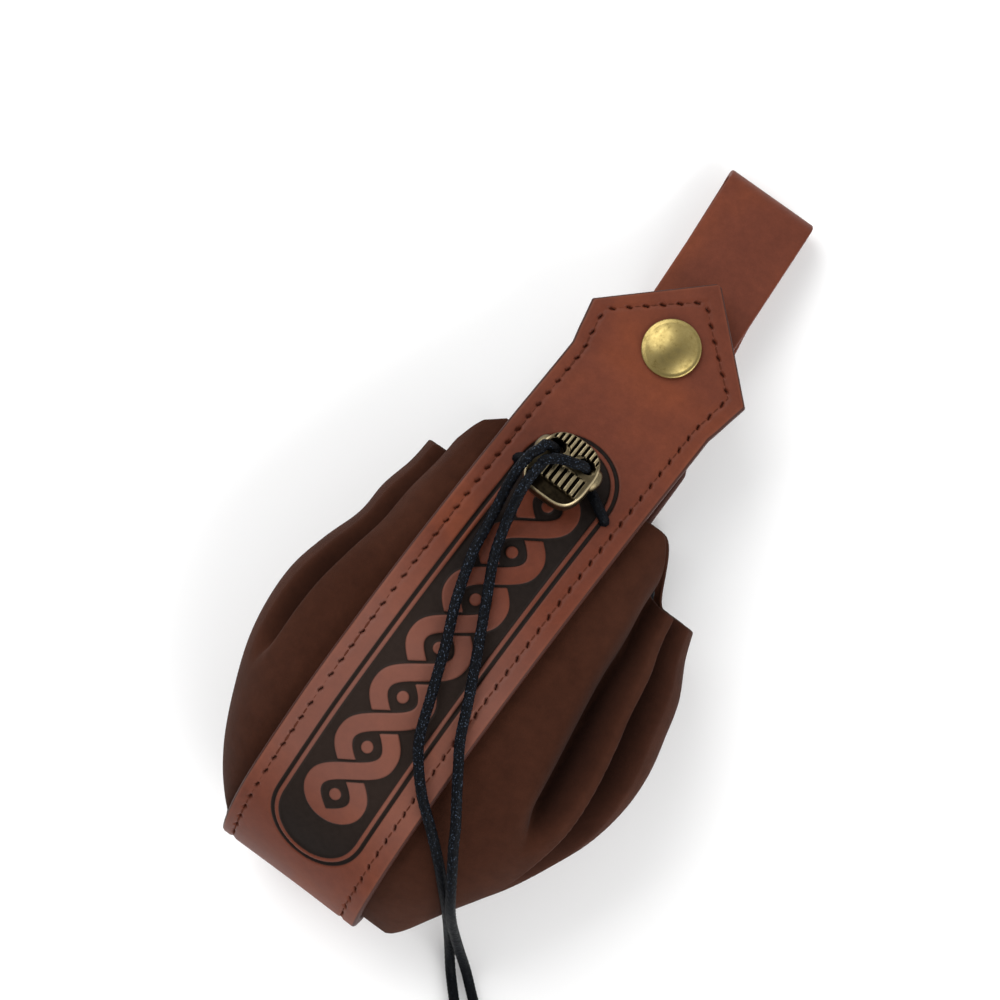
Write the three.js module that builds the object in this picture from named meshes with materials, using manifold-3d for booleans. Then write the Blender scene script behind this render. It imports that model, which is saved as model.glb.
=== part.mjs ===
// A belt pouch of the medieval kind, lying on its back with its front up. A stitched leather strip
// runs from a pointed head down the front of a gathered suede pouch, under its bottom and up its
// back. A narrower strap is sewn inside the strip's back end, folds over as the belt loop and is
// held under the head by a snap. A cord draws the mouth together, comes out through two holes in
// the strip and through the two eyes of a ribbed bronze bead, and its ends lie over the pouch.
// Millimetres, +Z up. X runs across the strip, and +Y runs along it towards the head.
import * as THREE from "three";
import { mergeVertices } from "three/addons/utils/BufferGeometryUtils.js";
import Module from "manifold-3d";

const wasm = await Module();
wasm.setup();

// General clearances
const seatGap = 0.35; // between pieces that lie against each other
const stripGap = 0.55; // between the strip's bent run and the pouch
const cordGap = 0.35; // round the cord where it passes through something

// Leather strip, measured along its length from the tip of the head
const stripWidth = 42;
const stripThickness = 3;
const stripBevel = 0.5;
const headWidth = 47;
const headPoint = 21; // from the head's corners to its tip
const headShoulder = 12; // from the head's corners back to the neck
const headTilt = 6; // degrees that the head falls towards its tip
const headLift = 23; // height of the head's underside at the snap
const tipBlunt = 0.9; // half width left at the very tip
const snapAboveCorners = 1.2;
const stripBackWidth = 39;
const stripBackEnd = -14; // Y where the strip's back end stops
const stripBackEndWidth = 31;
const stripBackEndLength = 9;
const stripStep = 4; // length of one bent facet

// Suede pouch
const pouchRim = -38; // Y of the mouth's front edge, counted from the snap
const pouchLength = 121;
const pouchDepth = 45;
const pouchLeft = 45.5;
const pouchRight = 58;
const pouchWall = 1.6;
const pouchFlat = 22; // half width of the flat part that the strip covers
const rimDip = 15.5; // how much lower the mouth's edge lies at the sides
const restSag = 2.7; // how far the suede sags beside the strip's back run
const foldDepth = 9;
const foldLean = 0.28; // share of a fold's depth by which it tucks under its outer lip

// Belt strap
const strapWidth = 25;
const strapThickness = 2;
const strapTurn = 4; // degrees, seen from the front
const strapReach = 46.5; // from the snap to the top of the folded loop
const strapFoldRadius = 4;
const strapSewnStart = -35;
const strapSewnEnd = -15;
const strapTail = 14; // from the snap to the strap's hidden end
const strapStep = 4;
const strapFoldStep = 2;

// Snap
const capRadius = 7.5;
const capHeight = 2.6;
const stemRadius = 1.7;
const socketRadius = 5.2;
const socketHeight = 3.2;
const knobRadius = 2;
const rivetRadius = 4.6;
const rivetHeight = 1;
const flangeHeight = 0.8;

// Drawstring and bead
const cordDiameter = 2.5;
const cordSides = 8;
const ringSteps = 76; // bent facets along the drawstring
const cordHoleSpread = 13.5; // from the strip's middle to each cord hole
const cordHoleBelowRim = 7;
const cordHoleRadius = 2.3;
const ringInset = 4.6; // the drawstring runs this far inside the pouch's outer face
const beadWidth = 16.5;
const beadHeight = 18;
const beadThickness = 5;
const beadOffset = -2; // from the strip's middle
const beadAboveHoles = 2.2;
const eyeSpread = 4.4;
const eyeAbove = 3.6;
const eyeRadius = 2.1;
const ribHeight = 0.9;

// Turns from degrees and interpolates
const rad = THREE.MathUtils.degToRad;
const smoothstep = THREE.MathUtils.smoothstep;

// The pouch from its mouth to its bottom. along is a share of pouchLength, front and back are
// heights of its two faces as shares of pouchDepth, left and right are half widths as shares of
// pouchLeft and pouchRight, fold is the share of foldDepth, and dip the share of rimDip.
const SECTIONS = [
  { along: 0.0, front: 0.69, back: 0.0, left: 0.8, right: 0.785, fold: 0.95, dip: 1.0 },
  { along: 0.06, front: 0.745, back: 0.0, left: 0.775, right: 0.785, fold: 1.0, dip: 0.96 },
  { along: 0.15, front: 0.827, back: 0.0, left: 0.81, right: 0.87, fold: 1.0, dip: 0.82 },
  { along: 0.25, front: 0.9, back: 0.0, left: 0.86, right: 0.945, fold: 1.0, dip: 0.62 },
  { along: 0.36, front: 0.958, back: 0.0, left: 0.93, right: 0.995, fold: 0.95, dip: 0.42 },
  { along: 0.47, front: 0.991, back: 0.0, left: 0.98, right: 1.0, fold: 0.85, dip: 0.24 },
  { along: 0.58, front: 1.0, back: 0.0, left: 0.975, right: 0.965, fold: 0.7, dip: 0.1 },
  { along: 0.68, front: 0.975, back: 0.0, left: 0.93, right: 0.89, fold: 0.5, dip: 0.02 },
  { along: 0.78, front: 0.895, back: 0.0, left: 0.84, right: 0.79, fold: 0.3, dip: 0.0 },
  { along: 0.86, front: 0.81, back: 0.02, left: 0.745, right: 0.68, fold: 0.15, dip: 0.0 },
  { along: 0.92, front: 0.69, back: 0.078, left: 0.65, right: 0.605, fold: 0.05, dip: 0.0 },
  { along: 0.965, front: 0.55, back: 0.165, left: 0.555, right: 0.55, fold: 0.0, dip: 0.0 },
  { along: 0.99, front: 0.43, back: 0.25, left: 0.485, right: 0.51, fold: 0.0, dip: 0.0 },
  { along: 1.0, front: 0.36, back: 0.31, left: 0.44, right: 0.48, fold: 0.0, dip: 0.0 },
];

// The pleats. Each is a valley down one side: rim and low are its angles in degrees (90 is the
// front, -90 the back) at the mouth and where it runs out, reach is the share of the pouch's length
// that it runs down, and depth is a share of the local fold depth.
const FOLDS = {
  right: [
    { rim: 57, low: 47, reach: 0.74, depth: 1.0 },
    { rim: 32, low: 22, reach: 0.76, depth: 1.0 },
    { rim: -24, low: -20, reach: 0.66, depth: 0.9 },
    { rim: -50, low: -48, reach: 0.6, depth: 0.75 },
  ],
  left: [
    { rim: 47, low: 42, reach: 0.72, depth: 0.9 },
    { rim: -12, low: -4, reach: 0.66, depth: 0.95 },
    { rim: -46, low: -48, reach: 0.6, depth: 0.8 },
  ],
};
const foldHalfAngle = 11;

// A pleat's own profile from lip to lip: out is a share of the half angle and down of the depth.
const FOLD_PROFILE = [
  { out: -1, down: 0 },
  { out: -0.5, down: 0.42 },
  { out: 0, down: 1 },
  { out: 0.5, down: 0.42 },
  { out: 1, down: 0 },
];
const ridgePoints = 2; // points on each ridge between two pleats
const flatPoints = 4; // facets across each flat face
const pouchRings = 17;
const innerRings = pouchRings - 3; // the inside stops short of the narrow bottom

// Catmull-Rom between table rows: u is 0 at the first row and 1 at the last.
function rowAt(table, u) {
  const place = u * (table.length - 1);
  const i = Math.min(Math.floor(place), table.length - 2);
  const f = place - i;
  const pick = (k) => table[THREE.MathUtils.clamp(k, 0, table.length - 1)];
  const made = {};
  for (const name of Object.keys(table[0])) {
    const [a, b, c, d] = [pick(i - 1)[name], pick(i)[name], pick(i + 1)[name], pick(i + 2)[name]];
    const bend = 2 * a - 5 * b + 4 * c - d;
    const turn = 3 * (b - c) + d - a;
    made[name] = b + 0.5 * f * (c - a + f * (bend + f * turn));
  }
  return made;
}

const backFace = stripThickness + stripGap; // the pouch's back face lies on the strip's back run
const frontHeight = (row) => backFace + pouchDepth * row.front;
const backHeight = (row) => backFace + pouchDepth * row.back;
const rowY = (row) => pouchRim - pouchLength * row.along;

// How far the mouth's edge has dropped at an angle with cosine c and sine s: late at the right front,
// from the strip on at the left front, and early behind.
function dipShare(side, c, s) {
  if (s < 0) return smoothstep(c, 0, 0.42);
  if (side > 0) return smoothstep(c, 0.24, 0.62);
  return 0.25 * Math.min(c / 0.35, 1) + 0.75 * smoothstep(c, 0.3, 0.66);
}

// A point on one side of the pouch's outer face, at an angle, pressed in by inset.
function sidePoint(row, side, degrees, inset, lean) {
  const a = rad(degrees);
  const wide = (side > 0 ? pouchRight * row.right : pouchLeft * row.left) - pouchFlat;
  const middle = (frontHeight(row) + backHeight(row)) / 2;
  const half = (frontHeight(row) - backHeight(row)) / 2;
  const c = Math.cos(a);
  const s = Math.sin(a);
  const full = s < 0 ? Math.pow(c, 0.8) : c; // the lower half is fuller, because it rests
  const sag = s < 0 ? restSag * smoothstep(c, 0, 0.35) * -s * smoothstep(0.8 - row.along, 0, 0.2) : 0;
  const out = new THREE.Vector2(c / Math.max(wide, 1), s / half).normalize();
  const x = pouchFlat + wide * full - out.x * inset - out.y * lean;
  const z = middle + half * s - sag - out.y * inset + out.x * lean;
  return new THREE.Vector3(side * x, rowY(row) - rimDip * row.dip * dipShare(side, c, s), z);
}

// One side's points from the front to the back, pleats included.
function sidePoints(row, side) {
  const folds = side > 0 ? FOLDS.right : FOLDS.left;
  const stations = [];
  let from = 90;
  for (const fold of [...folds, null]) {
    const share = fold ? Math.min(row.along / fold.reach, 1) : 0;
    const centre = fold ? THREE.MathUtils.lerp(fold.rim, fold.low, share) : -90 - foldHalfAngle;
    const to = centre + foldHalfAngle;
    for (let k = 1; k <= ridgePoints; k++) {
      stations.push({ degrees: THREE.MathUtils.lerp(from, to, k / (ridgePoints + 1)), inset: 0 });
    }
    if (!fold) continue;
    const depth = foldDepth * row.fold * fold.depth * (1 - smoothstep(share, 0.62, 1));
    for (const p of FOLD_PROFILE) {
      stations.push({ degrees: centre - p.out * foldHalfAngle, inset: depth * p.down });
    }
    from = centre - foldHalfAngle;
  }
  return stations.map((p) => sidePoint(row, side, p.degrees, p.inset, p.inset * foldLean));
}

// A whole ring of the outer face, seen from the mouth: front flat, right side, back flat, left side.
function pouchRing(row) {
  const ring = [];
  const flat = (height, from) => {
    for (let k = 0; k <= flatPoints; k++) {
      const x = from * THREE.MathUtils.lerp(pouchFlat, -pouchFlat, k / flatPoints);
      ring.push(new THREE.Vector3(x, rowY(row), height));
    }
  };
  flat(frontHeight(row), -1);
  ring.push(...sidePoints(row, 1));
  flat(backHeight(row), 1);
  ring.push(...sidePoints(row, -1).reverse());
  return ring;
}

// A closed mesh from rings of equal length. The caller closes its ends with loops or fans.
class RingMesh {
  constructor() {
    this.positions = [];
    this.faces = [];
  }
  add(ring) {
    const first = this.positions.length;
    this.positions.push(...ring);
    return ring.map((_, k) => first + k);
  }
  band(a, b) {
    a.forEach((_, k) => {
      const next = (k + 1) % a.length;
      this.faces.push([a[k], b[k], b[next]], [a[k], b[next], a[next]]);
    });
  }
  fan(ring, towards) {
    const middle = new THREE.Vector3();
    ring.forEach((i) => middle.add(this.positions[i]));
    const centre = this.add([middle.divideScalar(ring.length)])[0];
    ring.forEach((_, k) => {
      const pair = [ring[k], ring[(k + 1) % ring.length]];
      this.faces.push(towards ? [centre, ...pair] : [centre, ...pair.reverse()]);
    });
  }
  geometry() {
    const made = new THREE.BufferGeometry().setFromPoints(this.positions);
    made.setIndex(this.faces.flat());
    return made;
  }
}

// Conversions between three.js geometry and manifold solids
function solid(geometry) {
  const bare = geometry.clone();
  bare.deleteAttribute("normal");
  bare.deleteAttribute("uv");
  const merged = mergeVertices(bare, 1e-4);
  const made = new wasm.Manifold(
    new wasm.Mesh({
      numProp: 3,
      vertProperties: new Float32Array(merged.attributes.position.array),
      triVerts: new Uint32Array(merged.index.array),
    }),
  );
  return made;
}

function geometryOf(manifold) {
  const mesh = manifold.getMesh();
  const made = new THREE.BufferGeometry();
  made.setAttribute("position", new THREE.BufferAttribute(mesh.vertProperties, 3));
  made.setIndex(new THREE.BufferAttribute(mesh.triVerts, 1));
  return made;
}

// A round tube along a curve.
function tube(curve, radius, steps) {
  const section = new THREE.Shape();
  section.absarc(0, 0, radius, 0, 2 * Math.PI, false);
  return new THREE.ExtrudeGeometry(section, {
    steps,
    curveSegments: cordSides / 2,
    bevelEnabled: false,
    extrudePath: curve,
  });
}

// A flat band with bevelled edges, bent along a curve in the YZ plane. inner and outer are the
// heights of its two faces above the curve, and halfWidth gives its half width at each distance.
function band(curve, distances, inner, outer, halfWidth) {
  const mesh = new RingMesh();
  const length = curve.getLength();
  const rings = distances.map((d) => {
    const at = curve.getPointAt(Math.min(d / length, 1));
    const along = curve.getTangentAt(Math.min(d / length, 1));
    const up = new THREE.Vector3(0, along.z, -along.y).normalize();
    const w = halfWidth(d);
    const b = stripBevel;
    const corners = [
      [-w + b, outer],
      [w - b, outer],
      [w, outer - b],
      [w, inner + b],
      [w - b, inner],
      [-w + b, inner],
      [-w, inner + b],
      [-w, outer - b],
    ];
    return mesh.add(corners.map(([x, h]) => at.clone().addScaledVector(up, h).setX(x)));
  });
  rings.slice(1).forEach((ring, k) => mesh.band(rings[k], ring));
  mesh.fan(rings[0], true);
  mesh.fan(rings.at(-1), false);
  return mesh.geometry();
}

// Distances along a band: its named stations with even steps between them.
function stations(named, step) {
  const made = [named[0]];
  named.slice(1).forEach((to, k) => {
    const from = named[k];
    const n = Math.max(1, Math.round((to - from) / step));
    for (let i = 1; i <= n; i++) made.push(THREE.MathUtils.lerp(from, to, i / n));
  });
  return made;
}

// A value that changes in straight lines between stations.
function between(places, values, d) {
  const k = THREE.MathUtils.clamp(places.findIndex((p) => p >= d), 1, places.length - 1);
  const share = (d - places[k - 1]) / (places[k] - places[k - 1]);
  return THREE.MathUtils.lerp(values[k - 1], values[k], THREE.MathUtils.clamp(share, 0, 1));
}

// The head lies in one plane: its underside at a distance y from the snap.
const headFall = Math.tan(rad(headTilt));
const headUnderside = (y) => headLift - y * headFall;
const headTip = (headPoint - snapAboveCorners) * Math.cos(rad(headTilt));
const neck = -(headShoulder + snapAboveCorners) * Math.cos(rad(headTilt));

// The strip's inner face: the head's plane, then the pouch's own middle line with the seat's gap,
// down the front, round the bottom and up the back.
function stripCurve() {
  const line = (y) => new THREE.Vector3(0, y, headUnderside(y));
  const points = [line(headTip), line(headTip / 2), line(0), line(neck / 2), line(neck)];
  const rows = [];
  for (let k = 0; k <= pouchRings; k++) rows.push(rowAt(SECTIONS, k / pouchRings));
  const middle = [
    ...rows.map((row) => new THREE.Vector2(rowY(row), frontHeight(row))),
    ...rows.reverse().map((row) => new THREE.Vector2(rowY(row), backHeight(row))),
  ];
  middle.forEach((p, k) => {
    const before = middle[Math.max(k - 1, 0)];
    const after = middle[Math.min(k + 1, middle.length - 1)];
    const along = after.clone().sub(before).normalize();
    points.push(new THREE.Vector3(0, p.x + along.y * stripGap, p.y - along.x * stripGap));
  });
  const end = points.at(-1);
  for (const share of [0.25, 0.5, 0.75, 1]) {
    points.push(new THREE.Vector3(0, THREE.MathUtils.lerp(end.y, stripBackEnd, share), end.z));
  }
  const curve = new THREE.CatmullRomCurve3(points, false, "centripetal");
  curve.arcLengthDivisions = 1200;
  return curve;
}

const stripPath = stripCurve();
const stripLength = stripPath.getLength();

// The strip's outer face at a place between the neck and the belly: its point and its upward normal.
function onStrip(y) {
  let low = 0;
  let high = 0.45;
  for (let k = 0; k < 40; k++) {
    const middle = (low + high) / 2;
    if (stripPath.getPointAt(middle).y > y) low = middle;
    else high = middle;
  }
  const along = stripPath.getTangentAt(low);
  const up = new THREE.Vector3(0, along.z, -along.y).normalize();
  return { point: stripPath.getPointAt(low).addScaledVector(up, stripThickness), up };
}

// The snap's axis is square to the head.
const snapFrame = new THREE.Matrix4()
  .makeRotationX(-rad(headTilt))
  .setPosition(0, 0, headUnderside(0));

function inSnapFrame(geometry) {
  return geometry.clone().applyMatrix4(snapFrame);
}

function lathe(profile, segments) {
  const points = profile.map(([r, h]) => new THREE.Vector2(r, h));
  return new THREE.LatheGeometry(points, segments).rotateX(Math.PI / 2);
}

// Drawstring route: up through the bead's left eye, through the strip and the pouch's front, round
// inside the mouth and back the same way.
const holeY = pouchRim - cordHoleBelowRim;
const beadSeat = onStrip(holeY + beadAboveHoles);
const beadLift = cordDiameter + 4 * cordGap;
const beadTop = beadLift + beadThickness;
const beadTilt = Math.atan2(beadSeat.up.y, beadSeat.up.z);
const beadFrame = new THREE.Matrix4()
  .makeRotationX(-beadTilt)
  .setPosition(beadOffset, beadSeat.point.y, beadSeat.point.z);

const inBeadFrame = (x, y, z) => new THREE.Vector3(x, y, z).applyMatrix4(beadFrame);

function drawstringRow() {
  let low = 0;
  let high = 0.3;
  for (let k = 0; k < 40; k++) {
    const middle = (low + high) / 2;
    if (rowY(rowAt(SECTIONS, middle)) > holeY) low = middle;
    else high = middle;
  }
  return rowAt(SECTIONS, low);
}

function drawstringCurve() {
  const row = drawstringRow();
  const ringAngles = [78, 60, 40, 20, 0, -20, -40, -60, -78];
  const lie = cordDiameter / 2 + cordGap;
  const hole = onStrip(holeY);
  const through = (side, h) =>
    hole.point.clone().addScaledVector(hole.up, h).setX(side * cordHoleSpread);
  // from the bead's face down to the inside of the pouch, on one side
  const rise = (side) => {
    const eye = side * eyeSpread;
    const start = side > 0 ? -beadWidth * 0.27 : -beadWidth * 0.48;
    return [
      inBeadFrame(start, eyeAbove - 6, beadTop + lie + 0.6),
      inBeadFrame(start + 0.3 * (eye - start), eyeAbove - 3.2, beadTop + lie + 1.2),
      inBeadFrame(eye - 2.4, eyeAbove - 1.2, beadTop + lie + 0.9),
      inBeadFrame(eye - 0.7, eyeAbove - 0.3, beadTop + 1.4),
      inBeadFrame(eye, eyeAbove, beadTop - 1.2),
      inBeadFrame(eye, eyeAbove, beadLift + 1),
      inBeadFrame(eye + side * 0.8, eyeAbove - 0.5, lie + 0.4),
      through(side, lie + 0.1).addScaledVector(new THREE.Vector3(-side, 0.4, 0), 3),
      through(side, lie - 0.6).addScaledVector(new THREE.Vector3(-side, 0.2, 0), 0.7),
      through(side, -stripThickness),
      through(side, -stripThickness - ringInset + 1.2).addScaledVector(new THREE.Vector3(side, 0, 0), 0.8),
    ];
  };
  const ring = (side) => [
    new THREE.Vector3(side * (pouchFlat - 4), rowY(row), frontHeight(row) - ringInset),
    ...ringAngles.map((a) => sidePoint(row, side, a, ringInset, 0)),
  ];
  const points = [
    ...rise(-1),
    ...ring(-1),
    new THREE.Vector3(-pouchFlat / 2, rowY(row), backHeight(row) + ringInset),
    new THREE.Vector3(pouchFlat / 2, rowY(row), backHeight(row) + ringInset),
    ...ring(1).reverse(),
    ...rise(1).reverse(),
  ];
  return new THREE.CatmullRomCurve3(points, false, "centripetal");
}

const drawstringPath = drawstringCurve();

// The pouch: outer rings, inner rings moved in by the wall along the surface's own normals, an edge
// at the mouth, and holes where the drawstring pierces the pleats and the front.
function makePouch() {
  const rows = [];
  for (let k = 0; k <= pouchRings; k++) rows.push(pouchRing(rowAt(SECTIONS, k / pouchRings)));
  const count = rows[0].length;
  const inwards = (r, k) => {
    const before = rows[Math.max(r - 1, 0)][k];
    const after = rows[Math.min(r + 1, pouchRings)][k];
    const left = rows[r][(k + count - 1) % count];
    const right = rows[r][(k + 1) % count];
    const down = after.clone().sub(before);
    return right.clone().sub(left).cross(down).normalize();
  };
  const mesh = new RingMesh();
  const outer = rows.map((ring) => mesh.add(ring));
  const inner = rows
    .slice(0, innerRings + 1)
    .map((ring, r) => mesh.add(ring.map((p, k) => p.clone().addScaledVector(inwards(r, k), pouchWall))));
  outer.slice(1).forEach((ring, r) => mesh.band(outer[r], ring));
  inner.slice(1).forEach((ring, r) => mesh.band(ring, inner[r]));
  mesh.band(inner[0], outer[0]);
  mesh.fan(outer.at(-1), false);
  mesh.fan(inner.at(-1), true);
  const bore = solid(tube(drawstringPath, cordDiameter / 2 + cordGap, ringSteps));
  return geometryOf(solid(mesh.geometry()).subtract(bore));
}

// A short cylinder square to the strip at a cord hole.
function cordHole(side) {
  const at = onStrip(holeY);
  const drill = new THREE.CylinderGeometry(cordHoleRadius, cordHoleRadius, 4 * stripThickness, 12);
  const turn = new THREE.Quaternion().setFromUnitVectors(new THREE.Vector3(0, 1, 0), at.up);
  const place = at.point.clone().setX(side * cordHoleSpread);
  return drill.applyQuaternion(turn).translate(place.x, place.y, place.z);
}

function makeStrip() {
  const corner = headPoint;
  const neckAt = headPoint + headShoulder;
  const bottom = stripLength * 0.5;
  const backNarrow = stripLength - pouchLength * 0.45;
  const backEnd = stripLength - stripBackEndLength;
  const places = [0, corner, neckAt, bottom, backNarrow, backEnd, stripLength];
  const widths = [
    2 * tipBlunt,
    headWidth,
    stripWidth,
    stripWidth,
    stripBackWidth,
    stripBackWidth,
    stripBackEndWidth,
  ];
  const halfWidth = (d) => between(places, widths, d) / 2;
  const made = solid(band(stripPath, stations(places, stripStep), 0, stripThickness, halfWidth));
  const stemHole = lathe(
    [
      [0, -1],
      [stemRadius + seatGap, -1],
      [stemRadius + seatGap, stripThickness + 1],
      [0, stripThickness + 1],
    ],
    12,
  );
  return geometryOf(
    made
      .subtract(solid(cordHole(-1)))
      .subtract(solid(cordHole(1)))
      .subtract(solid(inSnapFrame(stemHole))),
  );
}

// The strap's middle line: sewn run, flat back leg, the fold, and the front leg up to the snap.
const strapSeat = -(socketHeight + seatGap + flangeHeight + seatGap + strapThickness / 2);
function strapCurve() {
  const sewn = stripThickness + 1.5 * seatGap + strapThickness / 2;
  const floor = strapThickness / 2;
  const foldY = strapReach - strapFoldRadius - strapThickness / 2;
  const point = (y, z) => new THREE.Vector3(0, y, z);
  const points = [
    point(strapSewnStart, sewn),
    point((strapSewnStart + strapSewnEnd) / 2, sewn),
    point(strapSewnEnd, sewn),
    point(strapSewnEnd + 0.35 * strapWidth, (sewn + floor) / 2 + 0.2),
    point(strapSewnEnd + 0.66 * strapWidth, floor + 0.25),
    point(strapSewnEnd + 0.8 * strapWidth, floor),
  ];
  for (const share of [0.3, 0.45, 0.6, 0.75, 0.9, 0.97]) points.push(point(foldY * share, floor));
  for (const degrees of [-90, -45, 0, 40, 75]) {
    const a = rad(degrees);
    const r = strapFoldRadius;
    points.push(point(foldY + r * Math.cos(a), floor + r + r * Math.sin(a)));
  }
  const seat = (y) => new THREE.Vector3(0, y, strapSeat).applyMatrix4(snapFrame);
  const last = points.at(-1);
  const first = seat(socketRadius + 3);
  points.push(last.clone().lerp(first, 0.35), last.clone().lerp(first, 0.7));
  points.push(first, seat(0), seat(-socketRadius), seat(-strapTail));
  return new THREE.CatmullRomCurve3(points, false, "centripetal");
}

function makeStrap() {
  const curve = strapCurve();
  curve.arcLengthDivisions = 600;
  const length = curve.getLength();
  const half = strapThickness / 2;
  const foldStart = curve.getUtoTmapping(0, 0) + length * 0.42;
  const places = [
    ...stations([0, foldStart], strapStep),
    ...stations([foldStart, length * 0.62], strapFoldStep).slice(1),
    ...stations([length * 0.62, length], strapStep).slice(1),
  ];
  const made = band(curve, places, -half, half, () => strapWidth / 2);
  const stemHole = lathe(
    [
      [0, -2 * strapThickness],
      [stemRadius + seatGap, -2 * strapThickness],
      [stemRadius + seatGap, 2 * strapThickness],
      [0, 2 * strapThickness],
    ],
    12,
  ).translate(0, 0, strapSeat);
  return geometryOf(solid(made).subtract(solid(inSnapFrame(stemHole))));
}

// Snap cap with its stem and socket, one riveted piece of metal.
function makeCap() {
  const top = stripThickness + seatGap;
  const bore = knobRadius + seatGap;
  const under = -seatGap;
  const profile = [
    [bore, under - socketHeight + seatGap],
    [socketRadius - 0.4, under - socketHeight + seatGap],
    [socketRadius, under - socketHeight + 0.7],
    [socketRadius, under - 0.8],
    [socketRadius - 0.8, under],
    [stemRadius, under],
    [stemRadius, top],
    [capRadius - 0.5, top],
    [capRadius, top + 0.45],
    [capRadius * 0.96, top + capHeight * 0.42],
    [capRadius * 0.84, top + capHeight * 0.68],
    [capRadius * 0.6, top + capHeight * 0.88],
    [capRadius * 0.3, top + capHeight * 0.98],
    [0, top + capHeight],
    [0, under - 0.7],
    [bore, under - 0.7],
    [bore, under - socketHeight + seatGap],
  ];
  return inSnapFrame(lathe(profile, 20));
}

// Snap stud, riveted through the strap.
function makeStud() {
  const face = strapSeat + strapThickness / 2 + seatGap;
  const back = strapSeat - strapThickness / 2 - seatGap;
  const profile = [
    [0, back - rivetHeight],
    [rivetRadius - 0.5, back - rivetHeight],
    [rivetRadius, back],
    [stemRadius, back],
    [stemRadius, face],
    [rivetRadius, face],
    [rivetRadius, face + flangeHeight - seatGap],
    [knobRadius * 0.8, face + flangeHeight - seatGap],
    [knobRadius, face + flangeHeight + 0.9],
    [knobRadius * 0.6, face + flangeHeight + 1.6],
    [0, face + flangeHeight + 1.6],
  ];
  return inSnapFrame(lathe(profile, 14));
}

// The bead: a thick rounded plate with two eyes, ribs above them, a row of shorter ribs below, and a
// rounded cheek at each side.
const RIBS = [
  { from: -0.3, to: 0.34, count: 8, low: 0.3, high: 0.46 },
  { from: -0.22, to: 0.4, count: 6, low: -0.26, high: 0.0 },
];

function makeBead() {
  const w = beadWidth / 2;
  const h = beadHeight / 2;
  const corner = beadWidth * 0.3;
  const outline = new THREE.Shape();
  outline.moveTo(-w + corner, -h);
  outline.lineTo(w - corner, -h);
  outline.absarc(w - corner, -h + corner, corner, -Math.PI / 2, 0, false);
  outline.lineTo(w, h - corner);
  outline.absarc(w - corner, h - corner, corner, 0, Math.PI / 2, false);
  outline.lineTo(-w + corner, h);
  outline.absarc(-w + corner, h - corner, corner, Math.PI / 2, Math.PI, false);
  outline.lineTo(-w, -h + corner);
  outline.absarc(-w + corner, -h + corner, corner, Math.PI, 1.5 * Math.PI, false);
  const bevel = 1.1;
  const plate = new THREE.ExtrudeGeometry(outline, {
    depth: beadThickness - 2 * bevel,
    bevelThickness: bevel,
    bevelSize: bevel,
    bevelOffset: -bevel,
    bevelSegments: 2,
    curveSegments: 4,
  }).translate(0, 0, beadLift + bevel);
  let made = solid(plate);
  for (const side of [-1, 1]) {
    const cheek = new THREE.SphereGeometry(1, 12, 8);
    cheek.scale(beadWidth * 0.2, beadHeight * 0.24, beadThickness * 0.44);
    cheek.translate(side * w * 0.94, eyeAbove, beadLift + beadThickness * 0.46);
    made = made.add(solid(cheek));
  }
  for (const row of RIBS) {
    for (let k = 0; k < row.count; k++) {
      const x = beadWidth * THREE.MathUtils.lerp(row.from, row.to, k / (row.count - 1));
      const long = beadHeight * (row.high - row.low);
      const rib = new THREE.BoxGeometry(beadWidth * 0.05, long, 2 * ribHeight);
      rib.translate(x, (beadHeight * (row.low + row.high)) / 2, beadTop);
      made = made.add(solid(rib));
    }
  }
  for (const side of [-1, 1]) {
    const eye = new THREE.CylinderGeometry(eyeRadius, eyeRadius, 4 * beadThickness, 12);
    eye.rotateX(Math.PI / 2).translate(side * eyeSpread, eyeAbove, beadTop);
    made = made.subtract(solid(eye));
  }
  return geometryOf(made).applyMatrix4(beadFrame);
}

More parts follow.
